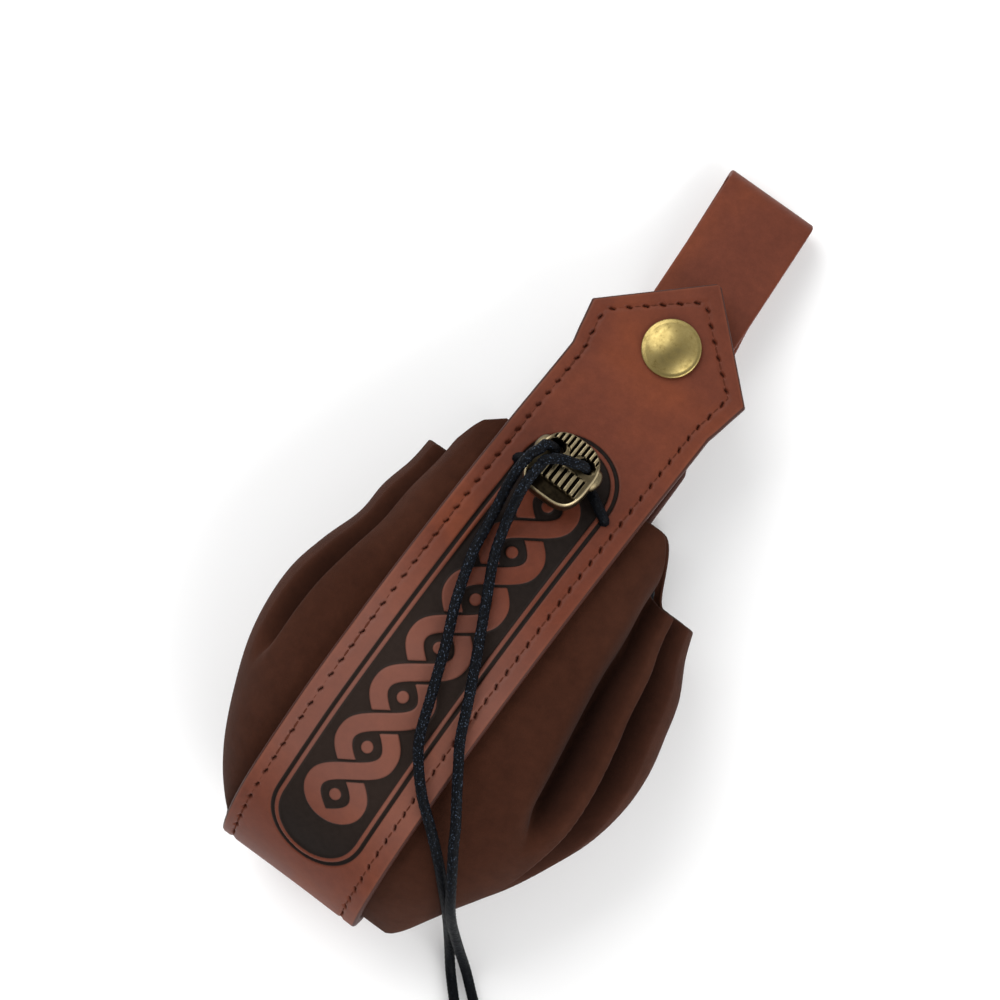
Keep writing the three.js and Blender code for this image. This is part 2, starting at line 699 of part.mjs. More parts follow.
// The routes of the cord's two free ends, chosen by hand: from the bead's left side down the strip,
// over its edge and the pouch's right side, and out along the surface.
const TAILS = {
  cord_tail_left: [
    { x: -9.9, y: -41.4, z: 51.2 },
    { x: -10.2, y: -44.7, z: 51.7 },
    { x: -10.2, y: -48.7, z: 50.5 },
    { x: -9.9, y: -52.7, z: 48.6 },
    { x: -9.3, y: -57, z: 47.4 },
    { x: -8.6, y: -61.5, z: 47.9 },
    { x: -7.6, y: -67.4, z: 49.4 },
    { x: -3.6, y: -80, z: 51.9 },
    { x: 0.7, y: -89.7, z: 53.2 },
    { x: 5.5, y: -102.2, z: 54 },
    { x: 9.5, y: -112.6, z: 54.1 },
    { x: 13.4, y: -118.1, z: 54 },
    { x: 18.1, y: -123.3, z: 52.6 },
    { x: 23.7, y: -128.2, z: 49.9 },
    { x: 27.3, y: -131.5, z: 47.7 },
    { x: 31.5, y: -135.9, z: 43.8 },
    { x: 35, y: -140.1, z: 38.8 },
    { x: 37.3, y: -143.3, z: 33 },
    { x: 39.1, y: -146.9, z: 23.8 },
    { x: 40.8, y: -150.9, z: 12.9 },
    { x: 42.9, y: -155, z: 5 },
    { x: 45.4, y: -158.7, z: 1.6 },
    { x: 48.5, y: -162.1, z: 1.3 },
    { x: 52.7, y: -166.4, z: 1.3 },
    { x: 57.7, y: -171.4, z: 1.3 },
  ],
  cord_tail_right: [
    { x: -6.3, y: -41.6, z: 51.5 },
    { x: -6.6, y: -45.2, z: 52.2 },
    { x: -6.5, y: -49.2, z: 51.9 },
    { x: -6.1, y: -53, z: 50.4 },
    { x: -5.4, y: -57, z: 48.9 },
    { x: -4.3, y: -61.5, z: 48.6 },
    { x: -2.5, y: -66.6, z: 49.4 },
    { x: 2.2, y: -75.7, z: 51.2 },
    { x: 8.1, y: -87.1, z: 52.9 },
    { x: 13.4, y: -97.7, z: 53.9 },
    { x: 17.5, y: -106.7, z: 54 },
    { x: 21.1, y: -112.4, z: 54 },
    { x: 24.9, y: -118.3, z: 53.2 },
    { x: 28.8, y: -124.4, z: 51.4 },
    { x: 31.1, y: -128.6, z: 50.2 },
    { x: 34.2, y: -133.7, z: 48.4 },
    { x: 36.8, y: -138.5, z: 44.8 },
    { x: 38.5, y: -142, z: 39.8 },
    { x: 40.3, y: -145.5, z: 31.8 },
    { x: 42.5, y: -149.2, z: 20.1 },
    { x: 45.2, y: -152.9, z: 9 },
    { x: 48.5, y: -156.2, z: 2.7 },
    { x: 52.1, y: -159.4, z: 1.3 },
    { x: 56.8, y: -163.4, z: 1.3 },
    { x: 62.2, y: -168.1, z: 1.3 },
  ],
};
const tailSteps = 56;

function makeTail(places) {
  const points = places.map((p) => new THREE.Vector3(p.x, p.y, p.z));
  return tube(new THREE.CatmullRomCurve3(points, false, "centripetal"), cordDiameter / 2, tailSteps);
}

// Materials
const finish = (colour, roughness, metalness) =>
  new THREE.MeshStandardMaterial({ color: colour, roughness, metalness });
const stripLeather = finish(0x84432f, 0.55, 0);
const strapLeather = finish(0x7c3f2c, 0.55, 0);
const suede = finish(0x43271c, 0.9, 0);
const brass = finish(0x96863f, 0.35, 1);
const bronze = finish(0x6d6248, 0.35, 1);
const waxedCord = finish(0x14161a, 0.6, 0);

function piece(name, geometry, material) {
  const made = new THREE.Mesh(geometry, material);
  made.name = name;
  return made;
}

const strapGroup = new THREE.Group();
strapGroup.rotation.z = rad(strapTurn);
strapGroup.add(piece("belt_strap", makeStrap(), strapLeather));

const pouch = new THREE.Group();
pouch.add(
  piece("leather_strip", makeStrip(), stripLeather),
  strapGroup,
  piece("pouch_body", makePouch(), suede),
  piece("snap_cap", makeCap(), brass),
  piece("snap_stud", makeStud(), brass),
  piece("bead", makeBead(), bronze),
  piece("drawstring", tube(drawstringPath, cordDiameter / 2, ringSteps), waxedCord),
);

// The origin is at the middle of the pouch's own box, on the surface that it lies on. The cord's
// free ends are not counted in that box.
const box = new THREE.Box3().setFromObject(pouch);
for (const [name, places] of Object.entries(TAILS)) {
  pouch.add(piece(name, makeTail(places), waxedCord));
}
pouch.position.set(-(box.min.x + box.max.x) / 2, -(box.min.y + box.max.y) / 2, -box.min.z);
export default pouch;
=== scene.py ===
import math

import bpy
import numpy as np
from mathutils import Matrix, Vector


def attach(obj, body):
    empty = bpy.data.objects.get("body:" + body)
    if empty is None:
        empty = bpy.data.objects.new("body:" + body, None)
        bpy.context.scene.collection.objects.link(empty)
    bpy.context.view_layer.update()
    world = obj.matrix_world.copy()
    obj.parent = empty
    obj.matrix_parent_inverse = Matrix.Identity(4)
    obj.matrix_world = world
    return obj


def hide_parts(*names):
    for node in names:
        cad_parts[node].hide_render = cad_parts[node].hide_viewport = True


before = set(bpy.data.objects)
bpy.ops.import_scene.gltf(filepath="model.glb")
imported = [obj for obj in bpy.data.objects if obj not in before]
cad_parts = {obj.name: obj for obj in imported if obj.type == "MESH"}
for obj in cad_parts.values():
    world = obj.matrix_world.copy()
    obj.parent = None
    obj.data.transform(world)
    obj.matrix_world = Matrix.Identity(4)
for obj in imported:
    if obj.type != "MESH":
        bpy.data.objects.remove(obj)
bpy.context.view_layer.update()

# Camera
# It looks almost straight down on the pouch's front, with the strip's head at the upper right.
CAMERA_AT = Vector((0.0934, 0.0170, 0.9863))
CAMERA_TARGET = Vector((-0.0184, 0.0026, 0.0314))
CAMERA_UP = Vector((-0.5877, 0.8071, 0.0568))
back = (CAMERA_AT - CAMERA_TARGET).normalized()
right = CAMERA_UP.cross(back).normalized()
camera_data = bpy.data.cameras.new("camera")
camera_data.sensor_width = 36
camera_data.lens = 140.2
camera_data.clip_end = 10
camera = bpy.data.objects.new("camera", camera_data)
bpy.context.scene.collection.objects.link(camera)
turned = Matrix((right, back.cross(right), back)).transposed().to_4x4()
camera.matrix_world = Matrix.Translation(CAMERA_AT) @ turned
bpy.context.scene.camera = camera

# Cord
# One black waxed cord, braided round, 2.5 mm thick. Its middle runs round inside the mouth, and
# both its ends come up through the strip and the bead's eyes and lie loose over the pouch.
# Places are millimetres from the snap, as in the model's source.
SNAP_AT = np.array([-6.74, 57.49, 0.06])
CORD_DIAMETER = 2.5
CORD_STRANDS = 8
CORD_LAY = 1.9
CORD_COLOUR = (0.003, 0.0034, 0.0045, 1)
# The colour of the painted glints on the cord.
CORD_PAINTED_GLINT = (0.055, 0.075, 0.11, 1)
TAIL_LEFT = [
    (-9.9, -41.4, 51.2), (-10.2, -44.7, 51.7), (-10.2, -48.7, 50.5), (-9.9, -52.7, 48.6),
    (-9.3, -57, 47.4), (-8.6, -61.5, 47.9), (-7.6, -67.4, 49.4), (-3.6, -80, 51.9),
    (0.7, -89.7, 53.2), (5.5, -102.2, 54), (9.5, -112.6, 54.1), (13.4, -118.1, 54),
    (18.1, -123.3, 52.6), (23.7, -128.2, 49.9), (27.3, -131.5, 47.7), (31.5, -135.9, 43.8),
    (35, -140.1, 38.8), (37.3, -143.3, 33), (39.1, -146.9, 23.8), (40.8, -150.9, 12.9),
    (42.9, -155, 5), (45.4, -158.7, 1.6), (48.5, -162.1, 1.3), (52.7, -166.4, 1.3),
    (57.7, -171.4, 1.3),
]
TAIL_RIGHT = [
    (-6.3, -41.6, 51.5), (-6.6, -45.2, 52.2), (-6.5, -49.2, 51.9), (-6.1, -53, 50.4),
    (-5.4, -57, 48.9), (-4.3, -61.5, 48.6), (-2.5, -66.6, 49.4), (2.2, -75.7, 51.2),
    (8.1, -87.1, 52.9), (13.4, -97.7, 53.9), (17.5, -106.7, 54), (21.1, -112.4, 54),
    (24.9, -118.3, 53.2), (28.8, -124.4, 51.4), (31.1, -128.6, 50.2), (34.2, -133.7, 48.4),
    (36.8, -138.5, 44.8), (38.5, -142, 39.8), (40.3, -145.5, 31.8), (42.5, -149.2, 20.1),
    (45.2, -152.9, 9), (48.5, -156.2, 2.7), (52.1, -159.4, 1.3), (56.8, -163.4, 1.3),
    (62.2, -168.1, 1.3),
]


def smooth_line(points, step):
    """Points about step apart on the centripetal Catmull-Rom curve through points."""
    p = np.asarray(points, float)
    p = np.vstack([2 * p[0] - p[1], p, 2 * p[-1] - p[-2]])
    knots = np.concatenate([[0], np.cumsum(np.linalg.norm(np.diff(p, axis=0), axis=1) ** 0.5)])
    made = []
    for i in range(1, len(p) - 2):
        a, b, c, d = knots[i - 1:i + 3]
        count = max(2, int(np.linalg.norm(p[i + 1] - p[i]) / step * 3))
        t = np.linspace(b, c, count, endpoint=False)[:, None]
        a1 = (b - t) / (b - a) * p[i - 1] + (t - a) / (b - a) * p[i]
        a2 = (c - t) / (c - b) * p[i] + (t - b) / (c - b) * p[i + 1]
        a3 = (d - t) / (d - c) * p[i + 1] + (t - c) / (d - c) * p[i + 2]
        b1 = (c - t) / (c - a) * a1 + (t - a) / (c - a) * a2
        b2 = (d - t) / (d - b) * a2 + (t - b) / (d - b) * a3
        made.append((c - t) / (c - b) * b1 + (t - b) / (c - b) * b2)
    fine = np.vstack(made + [p[-2:-1]])
    run = np.concatenate([[0], np.cumsum(np.linalg.norm(np.diff(fine, axis=0), axis=1))])
    even = np.linspace(0, run[-1], max(2, int(round(run[-1] / step)) + 1))
    return np.stack([np.interp(even, run, fine[:, k]) for k in range(p.shape[1])], axis=1)


def run_length(line):
    """Distance along a line of points, at each point."""
    return np.concatenate([[0], np.cumsum(np.linalg.norm(np.diff(line, axis=0), axis=1))])


def surface(name, grid, material, wrap=True, ends="", values=None):
    """A mesh from a grid of points in millimetres. wrap joins the last column to the first, ends
    names the rows that are closed, first and last, and values holds an attribute per point."""
    rows, columns = grid.shape[:2]
    points = (grid.reshape(-1, 3) + SNAP_AT) / 1000
    index = np.arange(rows * columns).reshape(rows, columns)
    across = np.roll(index, -1, axis=1) if wrap else index[:, 1:]
    here = index if wrap else index[:, :-1]
    quads = np.stack([here[:-1], here[1:], across[1:], across[:-1]], axis=-1).reshape(-1, 4)
    faces = quads.tolist()
    if "first" in ends:
        faces.append(index[0].tolist())
    if "last" in ends:
        faces.append(index[-1][::-1].tolist())
    mesh = bpy.data.meshes.new(name)
    mesh.from_pydata(points.tolist(), [], faces)
    for key, numbers in (values or {}).items():
        layer = mesh.attributes.new(key, "FLOAT", "POINT")
        layer.data.foreach_set("value", np.asarray(numbers, np.float32).ravel())
    mesh.materials.append(material)
    mesh.shade_smooth()
    mesh.validate()
    made = bpy.data.objects.new(name, mesh)
    bpy.context.scene.collection.objects.link(made)
    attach(made, "root")
    return made


def tube(line, radius, sides):
    """A grid round a line. radius is a function of the distance along and the angle round it."""
    run = run_length(line)
    along = np.gradient(line, axis=0)
    along /= np.linalg.norm(along, axis=1)[:, None]
    side = np.cross(along[0], (0.3, 0.2, 1.0))
    sides_of = []
    for direction in along:
        side = side - direction * side.dot(direction)
        side = side / np.linalg.norm(side)
        sides_of.append(side)
    first = np.array(sides_of)
    second = np.cross(first, along)
    angle = np.linspace(0, 2 * np.pi, sides, endpoint=False)
    far = radius(run[:, None], angle[None, :])
    ring = np.cos(angle)[None, :, None] * first[:, None] + np.sin(angle)[None, :, None] * second[:, None]
    return line[:, None] + far[..., None] * ring


def braid_height(run, angle):
    """Height from 0 to 1 of a round braid: two families of strands that pass over and under."""
    p = CORD_STRANDS * angle / (2 * np.pi) + run / CORD_LAY
    q = CORD_STRANDS * angle / (2 * np.pi) - run / CORD_LAY
    over = (np.floor(p) + np.floor(q)) % 2
    fp = np.sin(np.pi * (p % 1))
    fq = np.sin(np.pi * (q % 1))
    return np.where(over > 0, fp ** 0.35 * fq ** 0.9, fp ** 0.9 * fq ** 0.35)


def cord_radius(run, angle):
    return CORD_DIAMETER / 2 * (0.96 + 0.14 * braid_height(run, angle))


def new_material(name, colour, roughness, metallic=0.0):
    """A material, its node tree and its main shader."""
    made = bpy.data.materials.new(name)
    made.use_nodes = True
    tree = made.node_tree
    shader = tree.nodes["Principled BSDF"]
    shader.inputs["Base Color"].default_value = colour
    shader.inputs["Roughness"].default_value = roughness
    shader.inputs["Metallic"].default_value = metallic
    return made, tree, shader


def add_node(tree, kind, inputs=None, **settings):
    """A node with its settings and its input values or links."""
    node = tree.nodes.new(kind)
    for key, value in settings.items():
        setattr(node, key, value)
    for key, value in (inputs or {}).items():
        if isinstance(value, bpy.types.NodeSocket):
            tree.links.new(value, node.inputs[key])
        else:
            node.inputs[key].default_value = value
    return node


def noise(tree, scale, detail=4.0, roughness=0.6, place=None):
    """Noise on the object's own coordinates, in cycles per metre."""
    if place is None:
        place = add_node(tree, "ShaderNodeTexCoord").outputs["Object"]
    inputs = {"Vector": place, "Scale": scale, "Detail": detail, "Roughness": roughness}
    return add_node(tree, "ShaderNodeTexNoise", inputs).outputs["Fac"]


def own_axis(tree, axis):
    """One of the object's own coordinates, in metres."""
    place = add_node(tree, "ShaderNodeTexCoord").outputs["Object"]
    return add_node(tree, "ShaderNodeSeparateXYZ", {0: place}).outputs[axis]


def ramp(tree, value, stops, interpolation="LINEAR"):
    """A colour ramp from (position, colour) stops."""
    node = add_node(tree, "ShaderNodeValToRGB", {"Fac": value})
    node.color_ramp.interpolation = interpolation
    while len(node.color_ramp.elements) < len(stops):
        node.color_ramp.elements.new(0.5)
    for element, (position, colour) in zip(node.color_ramp.elements, stops):
        element.position = position
        element.color = colour
    return node.outputs["Color"]


def mix(tree, factor, a, b, blend="MIX"):
    """Two colours mixed."""
    node = add_node(tree, "ShaderNodeMix", data_type="RGBA", blend_type=blend)
    for socket, value in zip((node.inputs[0], node.inputs[6], node.inputs[7]), (factor, a, b)):
        if isinstance(value, bpy.types.NodeSocket):
            tree.links.new(value, socket)
        else:
            socket.default_value = value
    return node.outputs[2]


def bump(tree, height, distance, strength=1.0, normal=None):
    """A bump from a height between 0 and 1, that distance high in metres."""
    inputs = {"Height": height, "Distance": distance, "Strength": strength}
    if normal is not None:
        inputs["Normal"] = normal
    return add_node(tree, "ShaderNodeBump", inputs).outputs["Normal"]


def grey(value):
    return (value, value, value, 1)


cord_material, tree, shader = new_material("waxed_cord", CORD_COLOUR, 0.42)
wax = noise(tree, 900, 3)
# Painted glints: bluish specks put into the cord's colour as highlights, and only on its upper part.
painted_glints = ramp(tree, noise(tree, 2600, 2, 0.5), [(0.60, grey(0)), (0.70, grey(1))])
upper = ramp(tree, own_axis(tree, "Z"), [(0.044, grey(0.15)), (0.052, grey(1))])
painted_glints = mix(tree, 1.0, painted_glints, upper, "MULTIPLY")
tree.links.new(mix(tree, painted_glints, CORD_COLOUR, CORD_PAINTED_GLINT), shader.inputs["Base Color"])
tree.links.new(ramp(tree, wax, [(0.4, grey(0.36)), (0.7, grey(0.62))]), shader.inputs["Roughness"])
tree.links.new(bump(tree, noise(tree, 5200, 2), 0.00006), shader.inputs["Normal"])
shader.inputs["Specular IOR Level"].default_value = 0.045

for name, route, node in (
    ("cord_end_left", TAIL_LEFT, "cord_tail_left"),
    ("cord_end_right", TAIL_RIGHT, "cord_tail_right"),
):
    line = smooth_line(route, 0.22)
    tail = surface(name, tube(line, cord_radius, 32), cord_material, ends="first last")
    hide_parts(node)

# Suede pouch
# One piece of soft brown suede 1.6 mm thick, gathered by the cord into deep pleats at both sides of
# the strip. It is open at the mouth, full at the belly and lies flat where the strip covers it.
POUCH_RIM = -38
POUCH_LENGTH = 121
POUCH_DEPTH = 45
POUCH_LEFT = 45.5
POUCH_RIGHT = 58
POUCH_FLAT = 22
POUCH_WALL = 1.6
RIM_DIP = 15.5
REST_SAG = 2.7
FOLD_DEPTH = 9
FOLD_LEAN = 0.28
BACK_FACE = 3.55
SUEDE = (0.037, 0.0118, 0.006, 1)
SUEDE_LIGHT = (0.047, 0.0158, 0.0085, 1)
SUEDE_PAINTED_SHADE = (0.012, 0.0042, 0.0026, 1)
# Sections down the pouch: along, front, back, left, right, fold and dip, as shares of the sizes above
SECTIONS = [
    (0.0, 0.69, 0.0, 0.8, 0.785, 0.95, 1.0),
    (0.06, 0.745, 0.0, 0.81, 0.83, 1.0, 0.96),
    (0.15, 0.827, 0.0, 0.85, 0.91, 1.0, 0.82),
    (0.25, 0.9, 0.0, 0.86, 0.955, 1.0, 0.62),
    (0.36, 0.958, 0.0, 0.93, 0.995, 0.95, 0.42),
    (0.47, 0.991, 0.0, 0.98, 1.0, 0.85, 0.24),
    (0.58, 1.0, 0.0, 0.975, 0.965, 0.7, 0.1),
    (0.68, 0.975, 0.0, 0.93, 0.89, 0.5, 0.02),
    (0.78, 0.895, 0.0, 0.84, 0.79, 0.3, 0.0),
    (0.86, 0.81, 0.02, 0.745, 0.68, 0.15, 0.0),
    (0.92, 0.69, 0.078, 0.65, 0.605, 0.05, 0.0),
    (0.965, 0.55, 0.165, 0.555, 0.55, 0.0, 0.0),
    (0.99, 0.43, 0.25, 0.485, 0.51, 0.0, 0.0),
    (1.0, 0.36, 0.31, 0.44, 0.48, 0.0, 0.0),
]
# Pleats: angles at the mouth, half way and where it runs out, half angles before and after, reach
# and depth
FOLDS_RIGHT = [
    (54, 56, 38, 14, 9, 0.70, 1.0), (31, 32, -3, 8, 14, 0.86, 1.2),
    (-24, -22, -20, 12, 12, 0.66, 0.6), (-50, -49, -48, 12, 12, 0.6, 0.5),
]
FOLDS_LEFT = [
    (47, 45, 42, 13, 11, 0.72, 0.8), (-12, -8, -4, 13, 12, 0.66, 0.65),
    (-46, -47, -48, 12, 12, 0.6, 0.5),
]


def section(u):
    """The section table's values at u, from 0 at the mouth to 1 at the bottom, one row per u."""
    table = np.array(SECTIONS)
    place = np.atleast_1d(u) * (len(table) - 1)
    i = np.minimum(place.astype(int), len(table) - 2)
    f = (place - i)[:, None]
    a, b, c, d = (table[np.clip(i + k, 0, len(table) - 1)] for k in (-1, 0, 1, 2))
    return b + 0.5 * f * (c - a + f * (2 * a - 5 * b + 4 * c - d + f * (3 * (b - c) + d - a)))


def smoothstep(value, low, high):
    t = np.clip((value - low) / (high - low), 0, 1)
    return t * t * (3 - 2 * t)


def dip_share(side, c, s):
    """How far the mouth's edge has dropped at an angle with cosine c and sine s: late at the right
    front, from the strip on at the left front, and early behind."""
    front = smoothstep(c, 0.15, 0.68)
    if side < 0:
        front = 0.25 * np.clip(c / 0.35, 0, 1) + 0.75 * smoothstep(c, 0.3, 0.66)
    return np.where(s < 0, smoothstep(c, 0.04, 0.5), front)


def pouch_side(rows, side, degrees, inset, lean):
    """Points of one side of the pouch, rows down and angles across (90 the front, -90 the back)."""
    along, front, back_height, left, right_width, fold, dip = rows.T[:, :, None]
    wide = (POUCH_RIGHT * right_width if side > 0 else POUCH_LEFT * left) - POUCH_FLAT
    top = BACK_FACE + POUCH_DEPTH * front
    low = BACK_FACE + POUCH_DEPTH * back_height
    centre, half = (top + low) / 2, np.maximum((top - low) / 2, 0.5)
    c, s = np.cos(np.radians(degrees)), np.sin(np.radians(degrees))
    full = np.where(s < 0, np.maximum(c, 0) ** 0.8, c)
    sag = REST_SAG * smoothstep(c, 0, 0.35) * np.maximum(-s, 0) * smoothstep(0.8 - along, 0, 0.2)
    out_x, out_z = c / np.maximum(wide, 1), s / half
    size = np.hypot(out_x, out_z)
    out_x, out_z = out_x / size, out_z / size
    x = POUCH_FLAT + wide * full - out_x * inset - out_z * lean
    z = centre + half * s - sag - out_z * inset + out_x * lean
    y = POUCH_RIM - POUCH_LENGTH * along - RIM_DIP * dip * dip_share(side, c, s)
    return np.stack([side * x, y + 0 * x, z], axis=-1)


def pleats(rows, side, degrees, spread=1.0, power=1.6):
    """How far the pleats press the suede in. spread widens each and power sharpens its bottom."""
    along, fold = rows[:, 0:1], rows[:, 5:6]
    inset = np.zeros((len(rows), degrees.shape[-1]))
    for rim, middle, low, before, after, reach, depth in FOLDS_RIGHT if side > 0 else FOLDS_LEFT:
        share = np.minimum(along / reach, 1)
        centre = rim * (1 - share) * (1 - 2 * share) + middle * 4 * share * (1 - share)
        centre = centre + low * share * (2 * share - 1)
        off = degrees - centre
        q = np.minimum(np.where(off > 0, off / before, -off / after) / spread, 1)
        press = FOLD_DEPTH * fold * depth * (0.75 + 0.75 * share) * (1 - smoothstep(share, 0.8, 1))
        inset += press * np.maximum(1 - np.sqrt(q * q + 0.008), 0) ** power
    return inset


def pouch_rows(rows, inset):
    """Whole rings: front flat, right side, back flat, left side."""
    flat = np.linspace(-POUCH_FLAT, POUCH_FLAT, 24)[1:-1]
    angles = np.linspace(90, -90, 121)[None, :]
    front = BACK_FACE + POUCH_DEPTH * rows[:, 1:2] - inset
    under = BACK_FACE + POUCH_DEPTH * rows[:, 2:3] + inset
    y = POUCH_RIM - POUCH_LENGTH * rows[:, 0:1] + 0 * flat
    ring = [np.stack([flat + 0 * y, y, front + 0 * y], axis=-1)]
    fold = pleats(rows, 1, angles)
    ring.append(pouch_side(rows, 1, angles, fold + inset, fold * FOLD_LEAN))
    ring.append(np.stack([-flat + 0 * y, y, under + 0 * y], axis=-1))
    fold = pleats(rows, -1, angles)
    ring.append(pouch_side(rows, -1, angles, fold + inset, fold * FOLD_LEAN)[:, ::-1])
    return np.concatenate(ring, axis=1)


down = section(np.linspace(0, 1, 230))
inside = section(np.linspace(0.82, 0, 70))
outer_skin = pouch_rows(down, 0.0)
inner_skin = pouch_rows(inside, POUCH_WALL)
rim = [outer_skin[:1] * (1 - t) + inner_skin[-1:] * t for t in (0.85, 0.5, 0.15)]
for ring, lift in zip(rim, (0.25, 0.4, 0.25)):
    ring[..., 1] += lift

suede, tree, shader = new_material("suede", SUEDE, 0.95)
nap = noise(tree, 240, 5, 0.7)
worn = noise(tree, 28, 4, 0.6)
skin = mix(tree, ramp(tree, worn, [(0.35, grey(0)), (0.7, grey(1))]), SUEDE, SUEDE_LIGHT)
skin = mix(tree, 1.0, skin, ramp(tree, nap, [(0.3, grey(0.84)), (0.7, grey(1.14))]), "MULTIPLY")
# Painted shade: the suede is darkened deep in the pleats, where the ridges cast shadow.
painted_pleat_shade = add_node(tree, "ShaderNodeAttribute", attribute_name="painted_pleat_shade").outputs["Fac"]
skin = mix(tree, ramp(tree, painted_pleat_shade, [(0.2, grey(0)), (1.0, grey(0.85))]), skin, SUEDE_PAINTED_SHADE)
tree.links.new(skin, shader.inputs["Base Color"])
fuzz = bump(tree, noise(tree, 4200, 3, 0.8), 0.00014, 0.9)
tree.links.new(bump(tree, noise(tree, 130, 3, 0.5), 0.0009, 0.5, fuzz), shader.inputs["Normal"])
shader.inputs["Specular IOR Level"].default_value = 0.06
shader.inputs["Sheen Weight"].default_value = 0.03
shader.inputs["Sheen Roughness"].default_value = 0.5


def pleat_shade_depth(rows):
    """How far into the pleats each point of the rings lies, for the painted shade in the pleats."""
    angles = np.linspace(90, -90, 121)[None, :]
    flat = np.zeros((len(rows), 22))
    right, left = (pleats(rows, side, angles, 1.3, 0.8) / FOLD_DEPTH for side in (1, -1))
    return np.concatenate([flat, right, flat, left[:, ::-1]], axis=1)


# How deep the painted shade lies in the pleats, one value per point.
depth = np.concatenate([pleat_shade_depth(inside), np.repeat(pleat_shade_depth(down[:1]), 3, axis=0), pleat_shade_depth(down)])
pouch = surface(
    "suede_pouch",
    np.concatenate([inner_skin] + rim + [outer_skin]),
    suede,
    ends="first last",
    values={"painted_pleat_shade": depth},
)
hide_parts("pouch_body")

# Leather strip
# Two layers of waxed brown leather, glued and stitched along both edges. It is cut to a point at the
# head, and a plain braid is pressed into its front with the ground dyed black.
STRIP_WIDTH = 42
STRIP_THICKNESS = 3
STRIP_BACK_WIDTH = 39
STRIP_EDGE_ROUND = 0.75
HEAD_WIDTH = 47
HEAD_POINT = 21
HEAD_SHOULDER = 12
TIP_WIDTH = 1.8
STRIP_LEATHER = (0.130, 0.033, 0.0165, 1)
STRIP_DARK = (0.106, 0.0265, 0.0135, 1)
STRIP_ORANGE = (0.172, 0.0415, 0.015, 1)
STRIP_EDGE = (0.045, 0.014, 0.009, 1)
STRIP_BURNISH_AND_HIGHLIGHT = (0.30, 0.105, 0.06, 1)
STROKE_RIM = (0.075, 0.022, 0.013, 1)
HOLE_PAINTED_SHADE = (0.006, 0.003, 0.002, 1)
GROUND_BLACK = (0.0075, 0.0052, 0.0042, 1)
STRIP_PAINTED_SHEEN = (0.32, 0.18, 0.15, 1)
GROUND_WORN = (0.018, 0.0125, 0.0105, 1)
GROUND_PAINTED_SHEEN = (0.055, 0.034, 0.026, 1)
STITCH_INSET = 3.9
STITCH_SHIFT = -0.4
STITCH_PITCH = 4.19
STITCH_SLANT = 0.45
STITCH_HOLE_REACH = 0.5
STITCH_HOLE_WIDTH = 0.8
STITCH_END = 6
BACK_TAPER = 54
BACK_POINT = 9
BACK_END_WIDTH = 31
STRIP_GAP = 0.55
STRIP_BACK_END = -14
HEAD_TILT = math.radians(6)
HEAD_LIFT = 23
HEAD_TIP = 19.7
NECK = -13.1


def head_underside(y):
    return HEAD_LIFT - y * math.tan(HEAD_TILT)


# The inner face's middle line: the flat head, then down the pouch's front, round its bottom and
# straight up its back
line = [(y, head_underside(y)) for y in (HEAD_TIP, HEAD_TIP / 2, 0, NECK / 2, NECK)]
rings = section(np.linspace(0, 1, 18))
across = POUCH_RIM - POUCH_LENGTH * rings[:, 0]
front_line = np.stack([across, BACK_FACE + POUCH_DEPTH * rings[:, 1]], axis=1)
back_line = np.stack([across, BACK_FACE + POUCH_DEPTH * rings[:, 2]], axis=1)[::-1]
belly = np.concatenate([front_line, back_line])
belly_along = np.concatenate([belly[1:2] - belly[:1], belly[2:] - belly[:-2], belly[-1:] - belly[-2:-1]])
belly_along /= np.linalg.norm(belly_along, axis=1)[:, None]
belly_off = np.stack([belly_along[:, 1], -belly_along[:, 0]], axis=1) * STRIP_GAP
line += (belly + belly_off).tolist()
last_y, last_z = line[-1]
line += [(last_y + (STRIP_BACK_END - last_y) * share, last_z) for share in (0.25, 0.5, 0.75, 1)]
strip_line = smooth_line(line, 0.2)
strip_run = run_length(strip_line)
STRIP_LENGTH = strip_run[-1]
strip_along = np.gradient(strip_line, axis=0)
strip_along /= np.linalg.norm(strip_along, axis=1)[:, None]


def on_strip(x, run, height):
    """Points at x across, run along and height above the strip's inner face."""
    y, z = (np.interp(run, strip_run, strip_line[:, k]) for k in (0, 1))
    ty, tz = (np.interp(run, strip_run, strip_along[:, k]) for k in (0, 1))
    return np.stack(np.broadcast_arrays(x, y + height * tz, z - height * ty), axis=-1)


def run_at(y):
    """The run where the strip's front passes y."""
    front = slice(0, int(np.argmin(strip_line[:, 0])))
    return np.interp(-y, -strip_line[front, 0], strip_run[front])


def strip_half_width(run):
    places = [0, HEAD_POINT, HEAD_POINT + HEAD_SHOULDER, STRIP_LENGTH * 0.5]
    places += [STRIP_LENGTH - BACK_TAPER, STRIP_LENGTH - BACK_POINT, STRIP_LENGTH]
    widths = [TIP_WIDTH, HEAD_WIDTH, STRIP_WIDTH, STRIP_WIDTH]
    widths += [STRIP_BACK_WIDTH, STRIP_BACK_WIDTH, BACK_END_WIDTH]
    return np.interp(run, places, widths) / 2


# The ornament: a two-strand guilloche, the plain braid of old borders, with a round pellet in each
# of its eyes and a thin line on each side. Its ground is one long panel with round ends.
BRAID_SWING = 6.2
BRAID_HALF_WAVE = 14.0
BRAID_BAND = 4.4
BRAID_GAP = 0.8
PELLET_RADIUS = 1.5
PANEL_HALF_WIDTH = 13.2
PANEL_LINE = 1.0
PANEL_LINE_INSET = 1.6
PANEL_TOP_Y = -31
PANEL_END_Y = -152
RELIEF = 0.55


def stroke_distance(x, y, x0, y0, x1, y1, w0, w1):
    """Distance from a stroke that tapers from one round end to the other, negative inside it."""
    dx, dy = x1 - x0, y1 - y0
    share = np.clip(((x - x0) * dx + (y - y0) * dy) / (dx * dx + dy * dy), 0, 1)
    away = np.hypot(x - x0 - share * dx, y - y0 - share * dy)
    return away - (w0 + (w1 - w0) * share) / 2


